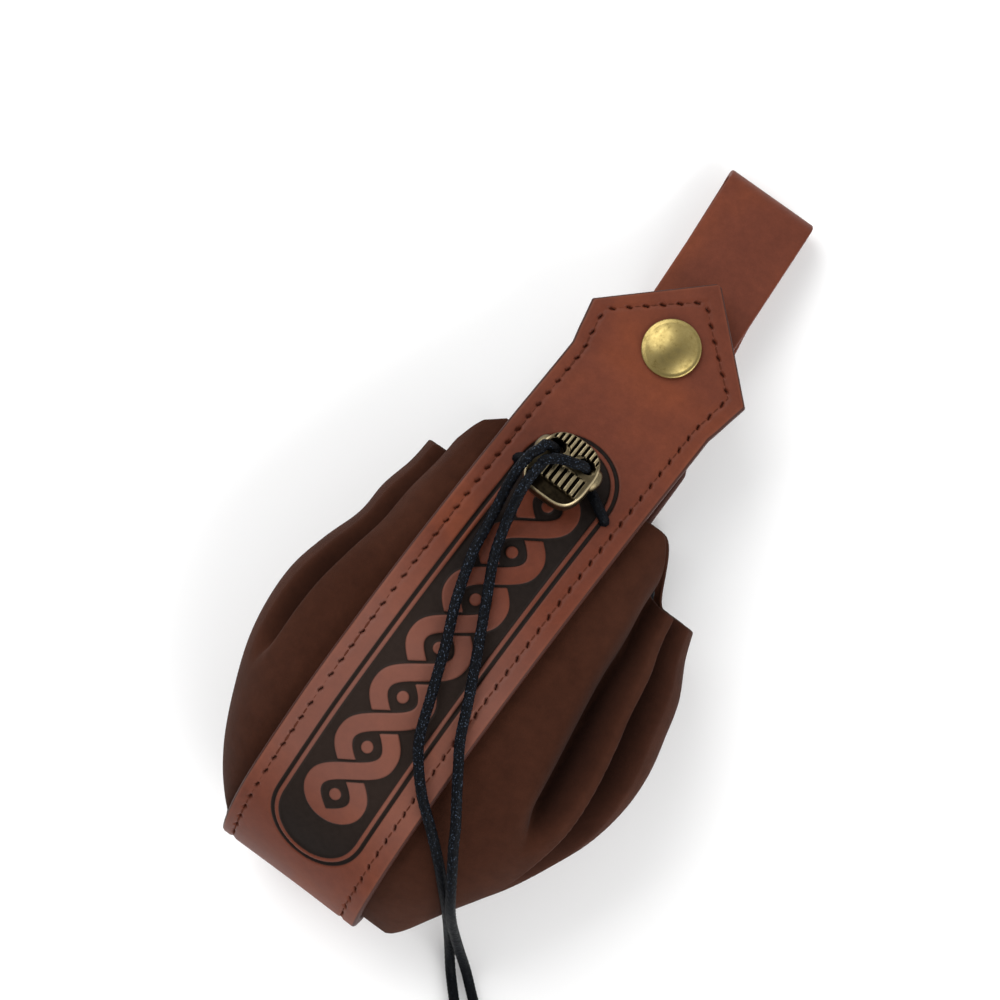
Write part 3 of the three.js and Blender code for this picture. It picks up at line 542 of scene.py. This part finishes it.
def ornament(x, run):
    """Signed distance to the black ground, negative in it, in millimetres. Each strand is a band
    about a sine wave, and the one that passes under stops short of the other at a crossing. At both
    ends the strands join in a round nose."""
    top, end = float(run_at(PANEL_TOP_Y)), float(run_at(PANEL_END_Y))
    first, last = top + PANEL_HALF_WIDTH, end - PANEL_HALF_WIDTH
    panel = stroke_distance(x, run, 0, first, 0, last, 2 * PANEL_HALF_WIDTH, 2 * PANEL_HALF_WIDTH)
    line = np.abs(panel + PANEL_LINE_INSET) - PANEL_LINE / 2
    waves = round((last - first) / BRAID_HALF_WAVE)
    phase = np.pi * (run - first) / (last - first) * waves
    slope = BRAID_SWING * np.cos(phase) * np.pi * waves / (last - first)
    lean = np.sqrt(1 + slope * slope)
    wave = (last - first) / waves
    beyond = np.maximum(first - run, run - last)
    past_eye = np.maximum(beyond + wave / 2, 0)
    nose = (np.hypot(x / (BRAID_SWING + BRAID_BAND / 2), past_eye / (wave / 2)) - 1) * wave / 2
    bands = []
    for side in (-1, 1):
        away = np.abs(x - side * BRAID_SWING * np.sin(phase)) / lean
        bands.append(np.maximum(away - BRAID_BAND / 2, nose))
    over = np.round(phase / np.pi) % 2 == 0
    upper = np.where(over, bands[0], bands[1])
    lower = np.where(over, bands[1], bands[0])
    passed_under = np.where(past_eye > 0, lower, np.maximum(lower, BRAID_GAP - upper))
    braid = np.minimum(upper, passed_under)
    middle = first + (np.floor((run - first) / wave) + 0.5) * wave
    pellet = np.maximum(np.hypot(x, run - middle) - PELLET_RADIUS, beyond)
    proud = np.minimum(np.minimum(braid, pellet), line)
    return np.clip(np.maximum(panel, -proud), -3, 9)


def stitch_line():
    """The stitching's line on the right half, (x, run), from the head's tip to the back end."""
    slope = math.hypot(HEAD_WIDTH / 2, HEAD_POINT)
    start = STITCH_INSET * slope / (HEAD_WIDTH / 2)
    runs = [start, HEAD_POINT + 0.6, HEAD_POINT + HEAD_SHOULDER, STRIP_LENGTH * 0.5]
    runs += [STRIP_LENGTH - BACK_TAPER, STRIP_LENGTH - STITCH_END]
    halves = [0.0] + [float(strip_half_width(r)) - STITCH_INSET for r in runs[1:]]
    halves[1] -= 0.4
    return np.array(list(zip(halves, runs)))


def stitch_places():
    """(x, run, direction) of each hole on the right half."""
    line = stitch_line()
    run = run_length(line)
    spots = np.arange(0.5, run[-1] / STITCH_PITCH) * STITCH_PITCH
    x, r = (np.interp(spots, run, line[:, k]) for k in (0, 1))
    ahead = np.stack([np.interp(spots + 0.5, run, line[:, k]) - v for k, v in ((0, x), (1, r))], axis=1)
    return x, r, np.arctan2(ahead[:, 0], ahead[:, 1])


hole_x, hole_run, hole_turn = stitch_places()


def stitch_holes(x, run):
    """Distance to the nearest slanted stitch hole and to the stitching's groove."""
    hole = np.full(x.shape, 9.0)
    half = np.abs(x - STITCH_SHIFT * smoothstep(run, 3, 12))
    for hx, hr, turn in zip(hole_x, hole_run, hole_turn):
        rows = slice(*np.searchsorted(run[:, 0], (hr - 2, hr + 2)))
        slant = turn + STITCH_SLANT
        dx, dr = STITCH_HOLE_REACH * math.sin(slant), STITCH_HOLE_REACH * math.cos(slant)
        ends = (hx - dx, hr - dr, hx + dx, hr + dr)
        away = stroke_distance(half[rows], run[rows], *ends, STITCH_HOLE_WIDTH, STITCH_HOLE_WIDTH)
        hole[rows] = np.minimum(hole[rows], away)
    line = stitch_line()
    groove = np.full(x.shape, 9.0)
    for a, b in zip(line[:-1], line[1:]):
        groove = np.minimum(groove, stroke_distance(half, run, a[0], a[1], b[0], b[1], 0, 0))
    return hole, groove


front_rows = np.arange(0, 190, 0.36)
back_rows = np.linspace(190, STRIP_LENGTH, 110)
rows = np.concatenate([front_rows, back_rows])[:, None]
FACE_COLUMNS = 124
corner = np.linspace(0, np.pi / 2, 5)[1:]
r = STRIP_EDGE_ROUND
top_x = np.linspace(-1, 1, FACE_COLUMNS)
middle = STRIP_THICKNESS / 2
# (how far in from the edge, height) of the right edge, from the top face to the underside
edge = [(r - r * math.sin(a), STRIP_THICKNESS - r + r * math.cos(a)) for a in corner]
edge += [(0.0, middle + 0.25), (0.22, middle), (0.0, middle - 0.25)]
edge += [(r - r * math.cos(a), r - r * math.sin(a)) for a in corner]
half = strip_half_width(rows)
face_half = np.maximum(half - r, 0.05)
run_grid = np.broadcast_to(rows, (len(rows), FACE_COLUMNS)).copy()
x_grid = top_x[None, :] * face_half
pattern = ornament(x_grid, run_grid)
hole, groove = stitch_holes(x_grid, run_grid)
from_edge = half - np.abs(x_grid)
height = STRIP_THICKNESS - RELIEF * (1 - smoothstep(pattern, -0.3, 0.15))
height -= 0.22 * np.exp(-((groove / 0.6) ** 2)) + 1.1 * smoothstep(-hole, -0.1, 0.3)
height += 0.12 * np.sin(0.21 * run_grid + 0.5) * np.sin(0.13 * x_grid + 1.1)
face = on_strip(x_grid, run_grid, height)
right_side = [on_strip(half[:, 0] - inset, rows[:, 0], np.full(len(rows), h)) for inset, h in edge]
under = [on_strip(half[:, 0] * s, rows[:, 0], np.zeros(len(rows))) for s in (0.93, 0.5, 0, -0.5, -0.93)]
left_side = [on_strip(inset - half[:, 0], rows[:, 0], np.full(len(rows), h)) for inset, h in edge[::-1]]
grid = np.concatenate([face] + [c[:, None] for c in right_side + under + left_side], axis=1)
others = grid.shape[1] - FACE_COLUMNS


def widen(values, value):
    """A face's attribute, with one value for the edges and the underside."""
    return np.concatenate([values, np.full((len(rows), others), value)], axis=1)


strip_leather, tree, shader = new_material("strip_leather", STRIP_LEATHER, 0.5)
blotches = noise(tree, 34, 4, 0.55)
grain = noise(tree, 2600, 5, 0.7)
skin = mix(tree, ramp(tree, blotches, [(0.36, grey(0)), (0.66, grey(1))]), STRIP_DARK, STRIP_LEATHER)
glow = ramp(tree, noise(tree, 33, 3, 0.55), [(0.52, grey(0)), (0.78, grey(0.75))])
skin = mix(tree, glow, skin, STRIP_ORANGE)
scuffs = ramp(tree, noise(tree, 420, 8, 0.75), [(0.40, grey(0.9)), (0.65, grey(1.07))])
skin = mix(tree, 1.0, skin, scuffs, "MULTIPLY")
# Painted sheen: the middle of the strip is paler, on the strokes and on the black ground, as if it
# reflects light. The ramp counts down the strip, from 0 at 0 to 1 at -0.1 m.
down_strip = add_node(tree, "ShaderNodeMath", {0: own_axis(tree, "Y"), 1: -10.0}, operation="MULTIPLY")
painted_sheen_stops = [(0.12, grey(0)), (0.38, grey(0.2)), (0.74, grey(0.2)), (0.92, grey(0))]
painted_sheen_band = ramp(tree, down_strip.outputs[0], painted_sheen_stops)
skin = mix(tree, painted_sheen_band, skin, STRIP_PAINTED_SHEEN)
# The face is paler in a thin band along its edges: burnished leather, and a painted highlight where the
# rounded edge catches the light.
near_edge = add_node(tree, "ShaderNodeAttribute", attribute_name="from_edge").outputs["Fac"]
burnish_and_highlight = ramp(tree, near_edge, [(0.0, grey(0.7)), (0.05, grey(0.12)), (0.12, grey(0))])
skin = mix(tree, burnish_and_highlight, skin, STRIP_BURNISH_AND_HIGHLIGHT)
ground = add_node(tree, "ShaderNodeAttribute", attribute_name="pattern").outputs["Fac"]
shift = add_node(tree, "ShaderNodeMath", {0: ground, 1: 0.5}, operation="MULTIPLY_ADD")
shift.inputs[2].default_value = 0.5
stroke = ramp(tree, shift.outputs[0], [(0.45, grey(0)), (0.53, grey(1))], "EASE")
rim = ramp(tree, shift.outputs[0], [(0.42, grey(0.6)), (0.56, grey(0.35)), (0.62, grey(0))])
skin = mix(tree, rim, skin, STROKE_RIM)
dyed_ground_and_sheen = mix(tree, noise(tree, 700, 4), GROUND_BLACK, GROUND_WORN)
# The black ground is dyed, and the painted sheen lightens it in the middle of the strip.
dyed_ground_and_sheen = mix(tree, painted_sheen_band, dyed_ground_and_sheen, GROUND_PAINTED_SHEEN)
skin = mix(tree, stroke, dyed_ground_and_sheen, skin)
cut = add_node(tree, "ShaderNodeAttribute", attribute_name="cut_edge").outputs["Fac"]
skin = mix(tree, cut, skin, STRIP_EDGE)
# Painted shade: the stitch holes are coloured near black, where shadow falls into them.
hole_value = add_node(tree, "ShaderNodeAttribute", attribute_name="hole").outputs["Fac"]
painted_hole_shade = ramp(tree, hole_value, [(0.30, grey(1)), (0.42, grey(0))], "EASE")
skin = mix(tree, painted_hole_shade, skin, HOLE_PAINTED_SHADE)
tree.links.new(skin, shader.inputs["Base Color"])
rough = ramp(tree, blotches, [(0.3, grey(0.42)), (0.7, grey(0.56))])
tree.links.new(rough, shader.inputs["Roughness"])
gloss = ramp(tree, shift.outputs[0], [(0.45, grey(0.05)), (0.53, grey(0.13))])
tree.links.new(gloss, shader.inputs["Specular IOR Level"])
relief = bump(tree, stroke, 0.0001, 0.5)
relief = bump(tree, grain, 0.00006, 0.6, relief)
tree.links.new(relief, shader.inputs["Normal"])

strip = surface(
    "stitched_strip",
    grid,
    strip_leather,
    ends="first last",
    values={
        "pattern": widen(pattern, 9.0),
        "hole": widen(np.clip(hole * 0.5 + 0.5, 0, 1), 1.0),
        "from_edge": widen(np.clip(from_edge / 12, 0, 1), 0.0),
        "cut_edge": np.concatenate(
            [np.zeros((len(rows), FACE_COLUMNS)), np.ones((len(rows), others))], axis=1
        ),
    },
)
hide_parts("leather_strip")

# Stitching
# Thick waxed brown thread, saddle stitched, that shows between one hole and the next and lies in a
# shallow groove.
THREAD_RADIUS = 0.28
THREAD_COLOUR = (0.078, 0.021, 0.011, 1)
thread_material, tree, shader = new_material("thread", THREAD_COLOUR, 0.85)
shader.inputs["Specular IOR Level"].default_value = 0.08
line = stitch_line()
run = run_length(line)
spots = np.arange(STITCH_PITCH * 0.5, run[-1], 0.3)


def thread_radius(run, angle):
    return THREAD_RADIUS + 0 * run * angle


phase = (spots / STITCH_PITCH - 0.5) % 1
dive = np.exp(-((np.minimum(phase, 1 - phase) / 0.19) ** 2))
thread_height = STRIP_THICKNESS - 0.36 - 1.3 * dive
for side, name in ((-1, "thread_left"), (1, "thread_right")):
    x, r = (np.interp(spots, run, line[:, k]) for k in (0, 1))
    lane = on_strip(side * x + STITCH_SHIFT * smoothstep(r, 3, 12), r, thread_height)
    thread = surface(name, tube(lane, thread_radius, 8), thread_material)

# Cord through the mouth
# The middle of the same cord: from the bead's eyes down through two holes in the strip and the
# pouch, and round inside the mouth, in and out of the pleats.
HOLE_Y = POUCH_RIM - 7
HOLE_SPREAD = 13.5
RING_INSET = 8.4
BEAD_WIDTH = 16.5
BEAD_HEIGHT = 18
BEAD_THICKNESS = 5
BEAD_OFFSET = -2
BEAD_ABOVE_HOLES = 2.2
BEAD_LIFT = 3.9
BEAD_TOP = BEAD_LIFT + BEAD_THICKNESS
EYE_SPREAD = 4.4
EYE_ABOVE = 3.6
CORD_GAP = 0.35
lie = CORD_DIAMETER / 2 + CORD_GAP
seat_run = float(run_at(HOLE_Y + BEAD_ABOVE_HOLES))
hole_at_run = float(run_at(HOLE_Y))
bead_along = np.array([np.interp(seat_run, strip_run, strip_along[:, k]) for k in (0, 1)])
bead_up = np.array([0, bead_along[1], -bead_along[0]])
bead_ahead = np.array([0, -bead_along[0], -bead_along[1]])
bead_seat = on_strip(BEAD_OFFSET, seat_run, STRIP_THICKNESS)


def in_bead(x, y, z):
    """Points in the bead's own frame: x across, y towards the head and z away from the strip."""
    x, y, z = np.broadcast_arrays(x, y, z)
    side = np.array([1, 0, 0])
    return bead_seat + x[..., None] * side + y[..., None] * bead_ahead + z[..., None] * bead_up


def through_hole(side, height, away=(0, 0, 0)):
    return on_strip(side * HOLE_SPREAD, hole_at_run, STRIP_THICKNESS + height) + np.array(away)


def cord_rise(side):
    """The cord from the bead's face down to the inside of the pouch, on one side."""
    eye = side * EYE_SPREAD
    start = -BEAD_WIDTH * (0.27 if side > 0 else 0.48)
    eye_y = EYE_ABOVE - (0.4 if side > 0 else 1.0)
    return [
        in_bead(start, eye_y - 5.8, BEAD_TOP + lie + 0.6),
        in_bead(start + 0.3 * (eye - start), eye_y - 3.2, BEAD_TOP + lie + 1.0),
        in_bead(eye - 2.2, eye_y - 1.5, BEAD_TOP + lie + 0.5),
        in_bead(eye - 0.7, eye_y - 0.5, BEAD_TOP + 0.9),
        in_bead(eye, eye_y, BEAD_TOP - 1.2),
        in_bead(eye, eye_y, BEAD_LIFT + 1),
        in_bead(eye + side * 0.8, EYE_ABOVE - 0.5, lie + 0.4),
        through_hole(side, lie + 0.1, (-3 * side, 1.2, 0)),
        through_hole(side, lie - 0.6, (-0.7 * side, 0.14, 0)),
        through_hole(side, -STRIP_THICKNESS),
        through_hole(side, -STRIP_THICKNESS - RING_INSET + 1.2, (0.8 * side, 0, 0)),
    ]


rings_at = np.linspace(0, 0.3, 400)
share = np.interp(-HOLE_Y, POUCH_LENGTH * section(rings_at)[:, 0] - POUCH_RIM, rings_at)
ring_row = section(share)
ring_y = POUCH_RIM - POUCH_LENGTH * ring_row[0, 0]
ring_front = BACK_FACE + POUCH_DEPTH * ring_row[0, 1] - RING_INSET
ring_back = BACK_FACE + RING_INSET


def cord_ring(side):
    """The cord inside one side of the mouth, from the front to the back."""
    angles = np.array([[78, 60, 40, 20, 0, -20, -40, -60, -78]])
    around = pouch_side(ring_row, side, angles, RING_INSET, 0)[0]
    return [np.array([side * (POUCH_FLAT - 4), ring_y, ring_front])] + list(around)


held = [np.array(TAIL_LEFT[0])] + cord_rise(-1) + cord_ring(-1)
held += [np.array([x, ring_y, ring_back]) for x in (-POUCH_FLAT / 2, POUCH_FLAT / 2)]
held += cord_ring(1)[::-1] + cord_rise(1)[::-1] + [np.array(TAIL_RIGHT[0])]
held_cord = surface(
    "cord_in_mouth", tube(smooth_line(held, 0.22), cord_radius, 32), cord_material, ends="first last"
)
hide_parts("drawstring")

# Bead
# A cast bronze slide bead, darkened in the recesses and bright where it is rubbed: ribs over two
# eyes, a row of short ribs below them, a smooth chin, and a round cheek at each side.
EYE_HALF_WIDTH = 2.5
EYE_HALF_HEIGHT = 1.8
EYE_DEPTH = 3.2
CHEEK_AT = (7.4, 2.3, 2.2)
CHEEK_HALF_SIZE = (2.1, 3.2, 1.9)
BRONZE_STOPS = [
    (0.12, (0.006, 0.0045, 0.003, 1)), (0.42, (0.05, 0.037, 0.02, 1)),
    (0.68, (0.175, 0.14, 0.08, 1)), (1.0, (0.44, 0.36, 0.215, 1)),
]


def bead_front(x, y, share):
    """Height of the bead's face over its back, and how far rubbing has polished it."""
    w, h = BEAD_WIDTH / 2, BEAD_HEIGHT / 2
    height = BEAD_THICKNESS * (1 - 0.07 * (x / w) ** 2 - 0.10 * (y / h) ** 2) - 0.35
    polish = 0.42 + 0 * x
    rim = smoothstep(share, 0.91, 0.94)
    chin = smoothstep(-y, 4.7, 5.3) * (1 - rim)
    height = height - 1.0 * chin
    polish = polish * (1 - 0.9 * chin) + 0.6 * rim * smoothstep(-y, -5.5, -3.5)
    brow = 5.2 - 2.1 * np.exp(-((x / 1.1) ** 2))
    rows_of_ribs = (
        (-5.6, 1.38, 9, smoothstep(y, brow - 0.3, brow + 0.3) * (1 - smoothstep(share, 0.93, 0.97))),
        (-3.5, 1.8, 6, smoothstep(y, -5.1, -4.5) * smoothstep(-y, -0.5, 0.1)),
    )
    for first, pitch, count, band in rows_of_ribs:
        place = (x - first) / pitch
        band = band * smoothstep(place, -0.62, -0.5) * smoothstep(-place, -count + 0.38, -count + 0.5)
        rib = smoothstep(0.5 + 0.5 * np.cos(2 * np.pi * place), 0.12, 0.62)
        height = height + band * (0.95 * rib - 0.5)
        polish = polish * (1 - band) + band * (0.72 * rib - 0.05)
    for side in (-1, 1):
        across, up = x - side * EYE_SPREAD, y - EYE_ABOVE
        eye = np.hypot(across / EYE_HALF_WIDTH, up / EYE_HALF_HEIGHT)
        hole = 1 - smoothstep(eye, 0.86, 1.0)
        height = height - EYE_DEPTH * hole
        polish = polish * (1 - hole)
    return height, polish


around = np.linspace(0, 2 * np.pi, 241)[:-1]
power = 3.6 - 0.9 * smoothstep(np.sin(around), 0, 0.5)
outline = 1 / (np.abs(np.cos(around)) ** power + np.abs(np.sin(around)) ** power) ** (1 / power)
rim_x = BEAD_WIDTH / 2 * outline * np.cos(around) * (1 - 0.07 * smoothstep(-np.sin(around), 0.2, 1))
rim_y = BEAD_HEIGHT / 2 * outline * np.sin(around)
layers, shine = [], []
for share in (0.02, 0.4, 0.75, 0.93):
    layers.append(in_bead(rim_x * share, rim_y * share, BEAD_LIFT))
    shine.append(0.3 + 0 * rim_x)
for share, low in ((0.985, 0.3), (1.0, 0.9), (1.0, 1.8), (0.995, 2.8)):
    layers.append(in_bead(rim_x * share, rim_y * share, BEAD_LIFT + low))
    shine.append(0.35 + 0 * rim_x)
for share in np.linspace(0.985, 0.02, 84):
    height, polish = bead_front(rim_x * share, rim_y * share, share)
    rise = smoothstep(1 - share, -0.02, 0.06) ** 0.6
    layers.append(in_bead(rim_x * share, rim_y * share, BEAD_LIFT + 3 + (height - 3) * rise))
    shine.append(polish)
bronze, tree, shader = new_material("bronze", (0.19, 0.145, 0.075, 1), 0.36, 1.0)
polish = add_node(tree, "ShaderNodeAttribute", attribute_name="polish").outputs["Fac"]
rubbing = {0: noise(tree, 800, 5), 1: 0.3, 2: polish}
worn = add_node(tree, "ShaderNodeMath", rubbing, operation="MULTIPLY_ADD")
tree.links.new(ramp(tree, worn.outputs[0], BRONZE_STOPS), shader.inputs["Base Color"])
bead = surface(
    "bronze_bead",
    np.array(layers)[:, ::-1],
    bronze,
    ends="first last",
    values={"polish": np.array(shine)[:, ::-1]},
)
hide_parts("bead")
rise, turn = np.meshgrid(np.linspace(-88, 88, 40), np.linspace(0, 360, 49)[:-1], indexing="ij")
rise, turn = np.radians(rise), -np.radians(turn)
for side, name in ((-1, "bead_cheek_left"), (1, "bead_cheek_right")):
    x = side * CHEEK_AT[0] + CHEEK_HALF_SIZE[0] * np.cos(rise) * np.cos(turn)
    y = CHEEK_AT[1] + CHEEK_HALF_SIZE[1] * np.cos(rise) * np.sin(turn)
    z = BEAD_LIFT + CHEEK_AT[2] + CHEEK_HALF_SIZE[2] * np.sin(rise)
    shine = 0.2 + 0.4 * np.sin(rise)
    cheek = surface(name, in_bead(x, y, z), bronze, ends="first last", values={"polish": shine})

# Belt strap
# One layer of the same brown leather, 25 mm wide and 2 mm thick. It is sewn inside the strip's back
# end, folds over at the top as the belt loop and ends under the snap.
STRAP_WIDTH = 25
STRAP_THICKNESS = 2
STRAP_TURN = math.radians(4)
STRAP_REACH = 46.5
END_SKEW = 0.065
BACK_SHIFT = 1.3
STRAP_FOLD_RADIUS = 4
STRAP_SEWN_START = -35
STRAP_SEWN_END = -15
STRAP_TAIL = 14
STRAP_SEAT = -5.7
SOCKET_RADIUS = 5.2
SEAT_GAP = 0.35


def in_snap(x, y, z):
    """Points in the snap's frame, which is square to the head."""
    x, y, z = np.broadcast_arrays(x, y, z)
    c, s = math.cos(HEAD_TILT), math.sin(HEAD_TILT)
    return np.stack([x, c * y + s * z, HEAD_LIFT - s * y + c * z], axis=-1)


sewn = STRIP_THICKNESS + 1.5 * SEAT_GAP + STRAP_THICKNESS / 2
floor_height = STRAP_THICKNESS / 2
fold_y = STRAP_REACH - STRAP_FOLD_RADIUS - STRAP_THICKNESS / 2
line = [(STRAP_SEWN_START, sewn), ((STRAP_SEWN_START + STRAP_SEWN_END) / 2, sewn)]
line += [(STRAP_SEWN_END, sewn), (STRAP_SEWN_END + 8.75, (sewn + floor_height) / 2 + 0.2)]
line += [(STRAP_SEWN_END + 16.5, floor_height + 0.25), (STRAP_SEWN_END + 20, floor_height)]
line += [(fold_y * share, floor_height) for share in (0.3, 0.45, 0.6, 0.75, 0.9, 0.97)]
for degrees in (-90, -45, 0, 40, 75):
    turn = math.radians(degrees)
    line.append((fold_y + STRAP_FOLD_RADIUS * math.cos(turn),
                 floor_height + STRAP_FOLD_RADIUS * (1 + math.sin(turn))))
seats = [in_snap(0, y, STRAP_SEAT)[1:] for y in (SOCKET_RADIUS + 3, 0, -SOCKET_RADIUS, -STRAP_TAIL)]
last, first = np.array(line[-1]), seats[0]
line += [tuple(last + (first - last) * share) for share in (0.35, 0.7)] + [tuple(p) for p in seats]
strap_line = smooth_line(line, 0.3)
strap_along = np.gradient(strap_line, axis=0)
strap_along /= np.linalg.norm(strap_along, axis=1)[:, None]
strap_off = np.stack([strap_along[:, 1], -strap_along[:, 0]], axis=1)
w, t, b = STRAP_WIDTH / 2, STRAP_THICKNESS / 2, 0.45
section_x, section_h = [], []
for x in np.linspace(-w + b, w - b, 40):
    section_x.append(x)
    section_h.append(t)
for a in np.linspace(0, np.pi / 2, 5)[1:]:
    section_x.append(w - b + b * math.sin(a))
    section_h.append(t - b + b * math.cos(a))
for a in np.linspace(0, np.pi / 2, 5):
    section_x.append(w - b + b * math.cos(a))
    section_h.append(-t + b - b * math.sin(a))
for x in np.linspace(w - b, -w + b, 20)[1:]:
    section_x.append(x)
    section_h.append(-t)
for a in np.linspace(0, np.pi / 2, 5)[1:]:
    section_x.append(-w + b - b * math.sin(a))
    section_h.append(-t + b - b * math.cos(a))
for a in np.linspace(0, np.pi / 2, 5)[:-1]:
    section_x.append(-w + b - b * math.cos(a))
    section_h.append(t - b + b * math.sin(a))
sx, sh = np.array(section_x)[None, :], np.array(section_h)[None, :]
y = strap_line[:, :1] + strap_off[:, :1] * sh
z = strap_line[:, 1:] + strap_off[:, 1:] * sh
x = sx - BACK_SHIFT * (1 - smoothstep(z, 2, 9)) * smoothstep(y, 0, 20)
y = y + END_SKEW * (w - x) * smoothstep(y, 20, STRAP_REACH)
c, s = math.cos(STRAP_TURN), math.sin(STRAP_TURN)
grid = np.stack([c * x - s * y, c * y + s * x, z], axis=-1)
strap_leather, tree, shader = new_material("strap_leather", STRIP_LEATHER, 0.5)
blotches = noise(tree, 38, 4, 0.55)
skin = mix(tree, ramp(tree, blotches, [(0.36, grey(0)), (0.66, grey(1))]), STRIP_DARK, STRIP_LEATHER)
glow = ramp(tree, noise(tree, 36, 3, 0.55), [(0.50, grey(0)), (0.75, grey(0.8))])
skin = mix(tree, glow, skin, STRIP_ORANGE)
scuffs = ramp(tree, noise(tree, 420, 8, 0.75), [(0.40, grey(0.9)), (0.65, grey(1.07))])
skin = mix(tree, 1.0, skin, scuffs, "MULTIPLY")
tree.links.new(skin, shader.inputs["Base Color"])
tree.links.new(bump(tree, noise(tree, 2600, 5, 0.7), 0.00006, 0.6), shader.inputs["Normal"])
shader.inputs["Specular IOR Level"].default_value = 0.13
strap = surface("belt_loop", grid, strap_leather, ends="first last")
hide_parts("belt_strap")

# Snap
# A 15 mm snap of antiqued brass: a domed cap with its stem and socket, riveted through the head, and
# the stud it presses on, riveted through the strap.
STEM_RADIUS = 1.7
CAP_TOP = 5.95
CAP_DOME_RADIUS = 13
CAP_DOME_REACH = 6.9
brass, tree, shader = new_material("brass", (0.36, 0.285, 0.105, 1), 0.34, 1.0)
patina = noise(tree, 650, 6, 0.75)
stops = [(0.32, (0.19, 0.145, 0.05, 1)), (0.44, (0.30, 0.23, 0.085, 1)), (0.7, (0.37, 0.29, 0.115, 1))]
skin = ramp(tree, patina, stops)
tree.links.new(skin, shader.inputs["Base Color"])
tree.links.new(ramp(tree, patina, [(0.3, grey(0.5)), (0.6, grey(0.34))]), shader.inputs["Roughness"])
cap_profile = [(0.02, -1.05), (2.35, -1.05), (2.35, -3.2), (4.8, -3.2), (5.2, -2.85), (5.2, -1.15)]
cap_profile += [(4.9, -0.6), (4.4, -0.35), (STEM_RADIUS, -0.35), (STEM_RADIUS, 3.35)]
cap_profile += [(6.9, 3.35), (7.3, 3.42), (7.5, 3.7)]
for turn in np.radians(np.linspace(0, 66, 12)):
    cap_profile.append((6.7 + 0.8 * math.cos(turn), 3.72 + 0.42 * math.sin(turn)))
for share in np.linspace(1, 0, 24)[1:]:
    far = CAP_DOME_REACH * share
    drop = CAP_DOME_RADIUS - math.sqrt(CAP_DOME_RADIUS ** 2 - far ** 2)
    cap_profile.append((0.02 + far, CAP_TOP - drop))
stud_profile = [(0.02, STRAP_SEAT - 2.35), (4.1, STRAP_SEAT - 2.35), (4.6, STRAP_SEAT - 1.9)]
stud_profile += [(4.6, STRAP_SEAT - 1.5), (4.3, STRAP_SEAT - 1.35), (STEM_RADIUS, STRAP_SEAT - 1.35)]
stud_profile += [(STEM_RADIUS, STRAP_SEAT + 1.35), (4.6, STRAP_SEAT + 1.35), (4.6, STRAP_SEAT + 1.8)]
stud_profile += [(1.6, STRAP_SEAT + 1.8), (2, STRAP_SEAT + 3.05), (1.2, STRAP_SEAT + 3.75)]
stud_profile.append((0.02, STRAP_SEAT + 3.75))
for name, profile, node in (
    ("brass_cap", cap_profile, "snap_cap"),
    ("brass_stud", stud_profile, "snap_stud"),
):
    r, h = np.array(profile).T[:, :, None]
    angle = -np.linspace(0, 2 * np.pi, 97)[None, :-1]
    points = in_snap(r * np.cos(angle), r * np.sin(angle), h + 0 * angle)
    piece = surface(name, points, brass, ends="first last")
    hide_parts(node)

# Floor and light
# A pale matt table, a large soft light above on the left and a weaker one from the right.
FLOOR_GLOW = 0.12
floor_material, tree, shader = new_material("floor", (0.86, 0.86, 0.86, 1), 0.8)
shader.inputs["Emission Color"].default_value = (1, 1, 1, 1)
shader.inputs["Emission Strength"].default_value = FLOOR_GLOW
bpy.ops.mesh.primitive_plane_add(size=6, location=(0, 0, -0.0004))
floor = bpy.context.object
floor.name = "floor"
floor.data.materials.append(floor_material)
for name, place, size, power in (
    ("key_light", (-0.95, 0.45, 1.0), 1.2, 16.5),
    ("fill_light", (1.1, -0.25, 0.7), 1.1, 13),
):
    light_data = bpy.data.lights.new(name, "AREA")
    light_data.size = size
    light_data.energy = power
    light = bpy.data.objects.new(name, light_data)
    bpy.context.scene.collection.objects.link(light)
    aim = Vector(place).to_track_quat("Z", "Y").to_matrix().to_4x4()
    light.matrix_world = Matrix.Translation(place) @ aim
world = bpy.context.scene.world or bpy.data.worlds.new("world")
bpy.context.scene.world = world
world.use_nodes = True
tree = world.node_tree
direction = add_node(tree, "ShaderNodeTexCoord").outputs["Generated"]
height = add_node(tree, "ShaderNodeSeparateXYZ", {0: direction}).outputs["Z"]
room = ramp(tree, height, [(0.0, grey(0.95)), (0.55, grey(0.95)), (0.93, grey(0.30)), (1.0, grey(0.22))])
tree.links.new(room, tree.nodes["Background"].inputs["Color"])
tree.nodes["Background"].inputs["Strength"].default_value = 0.92
bpy.context.scene.view_settings.view_transform = "Standard"
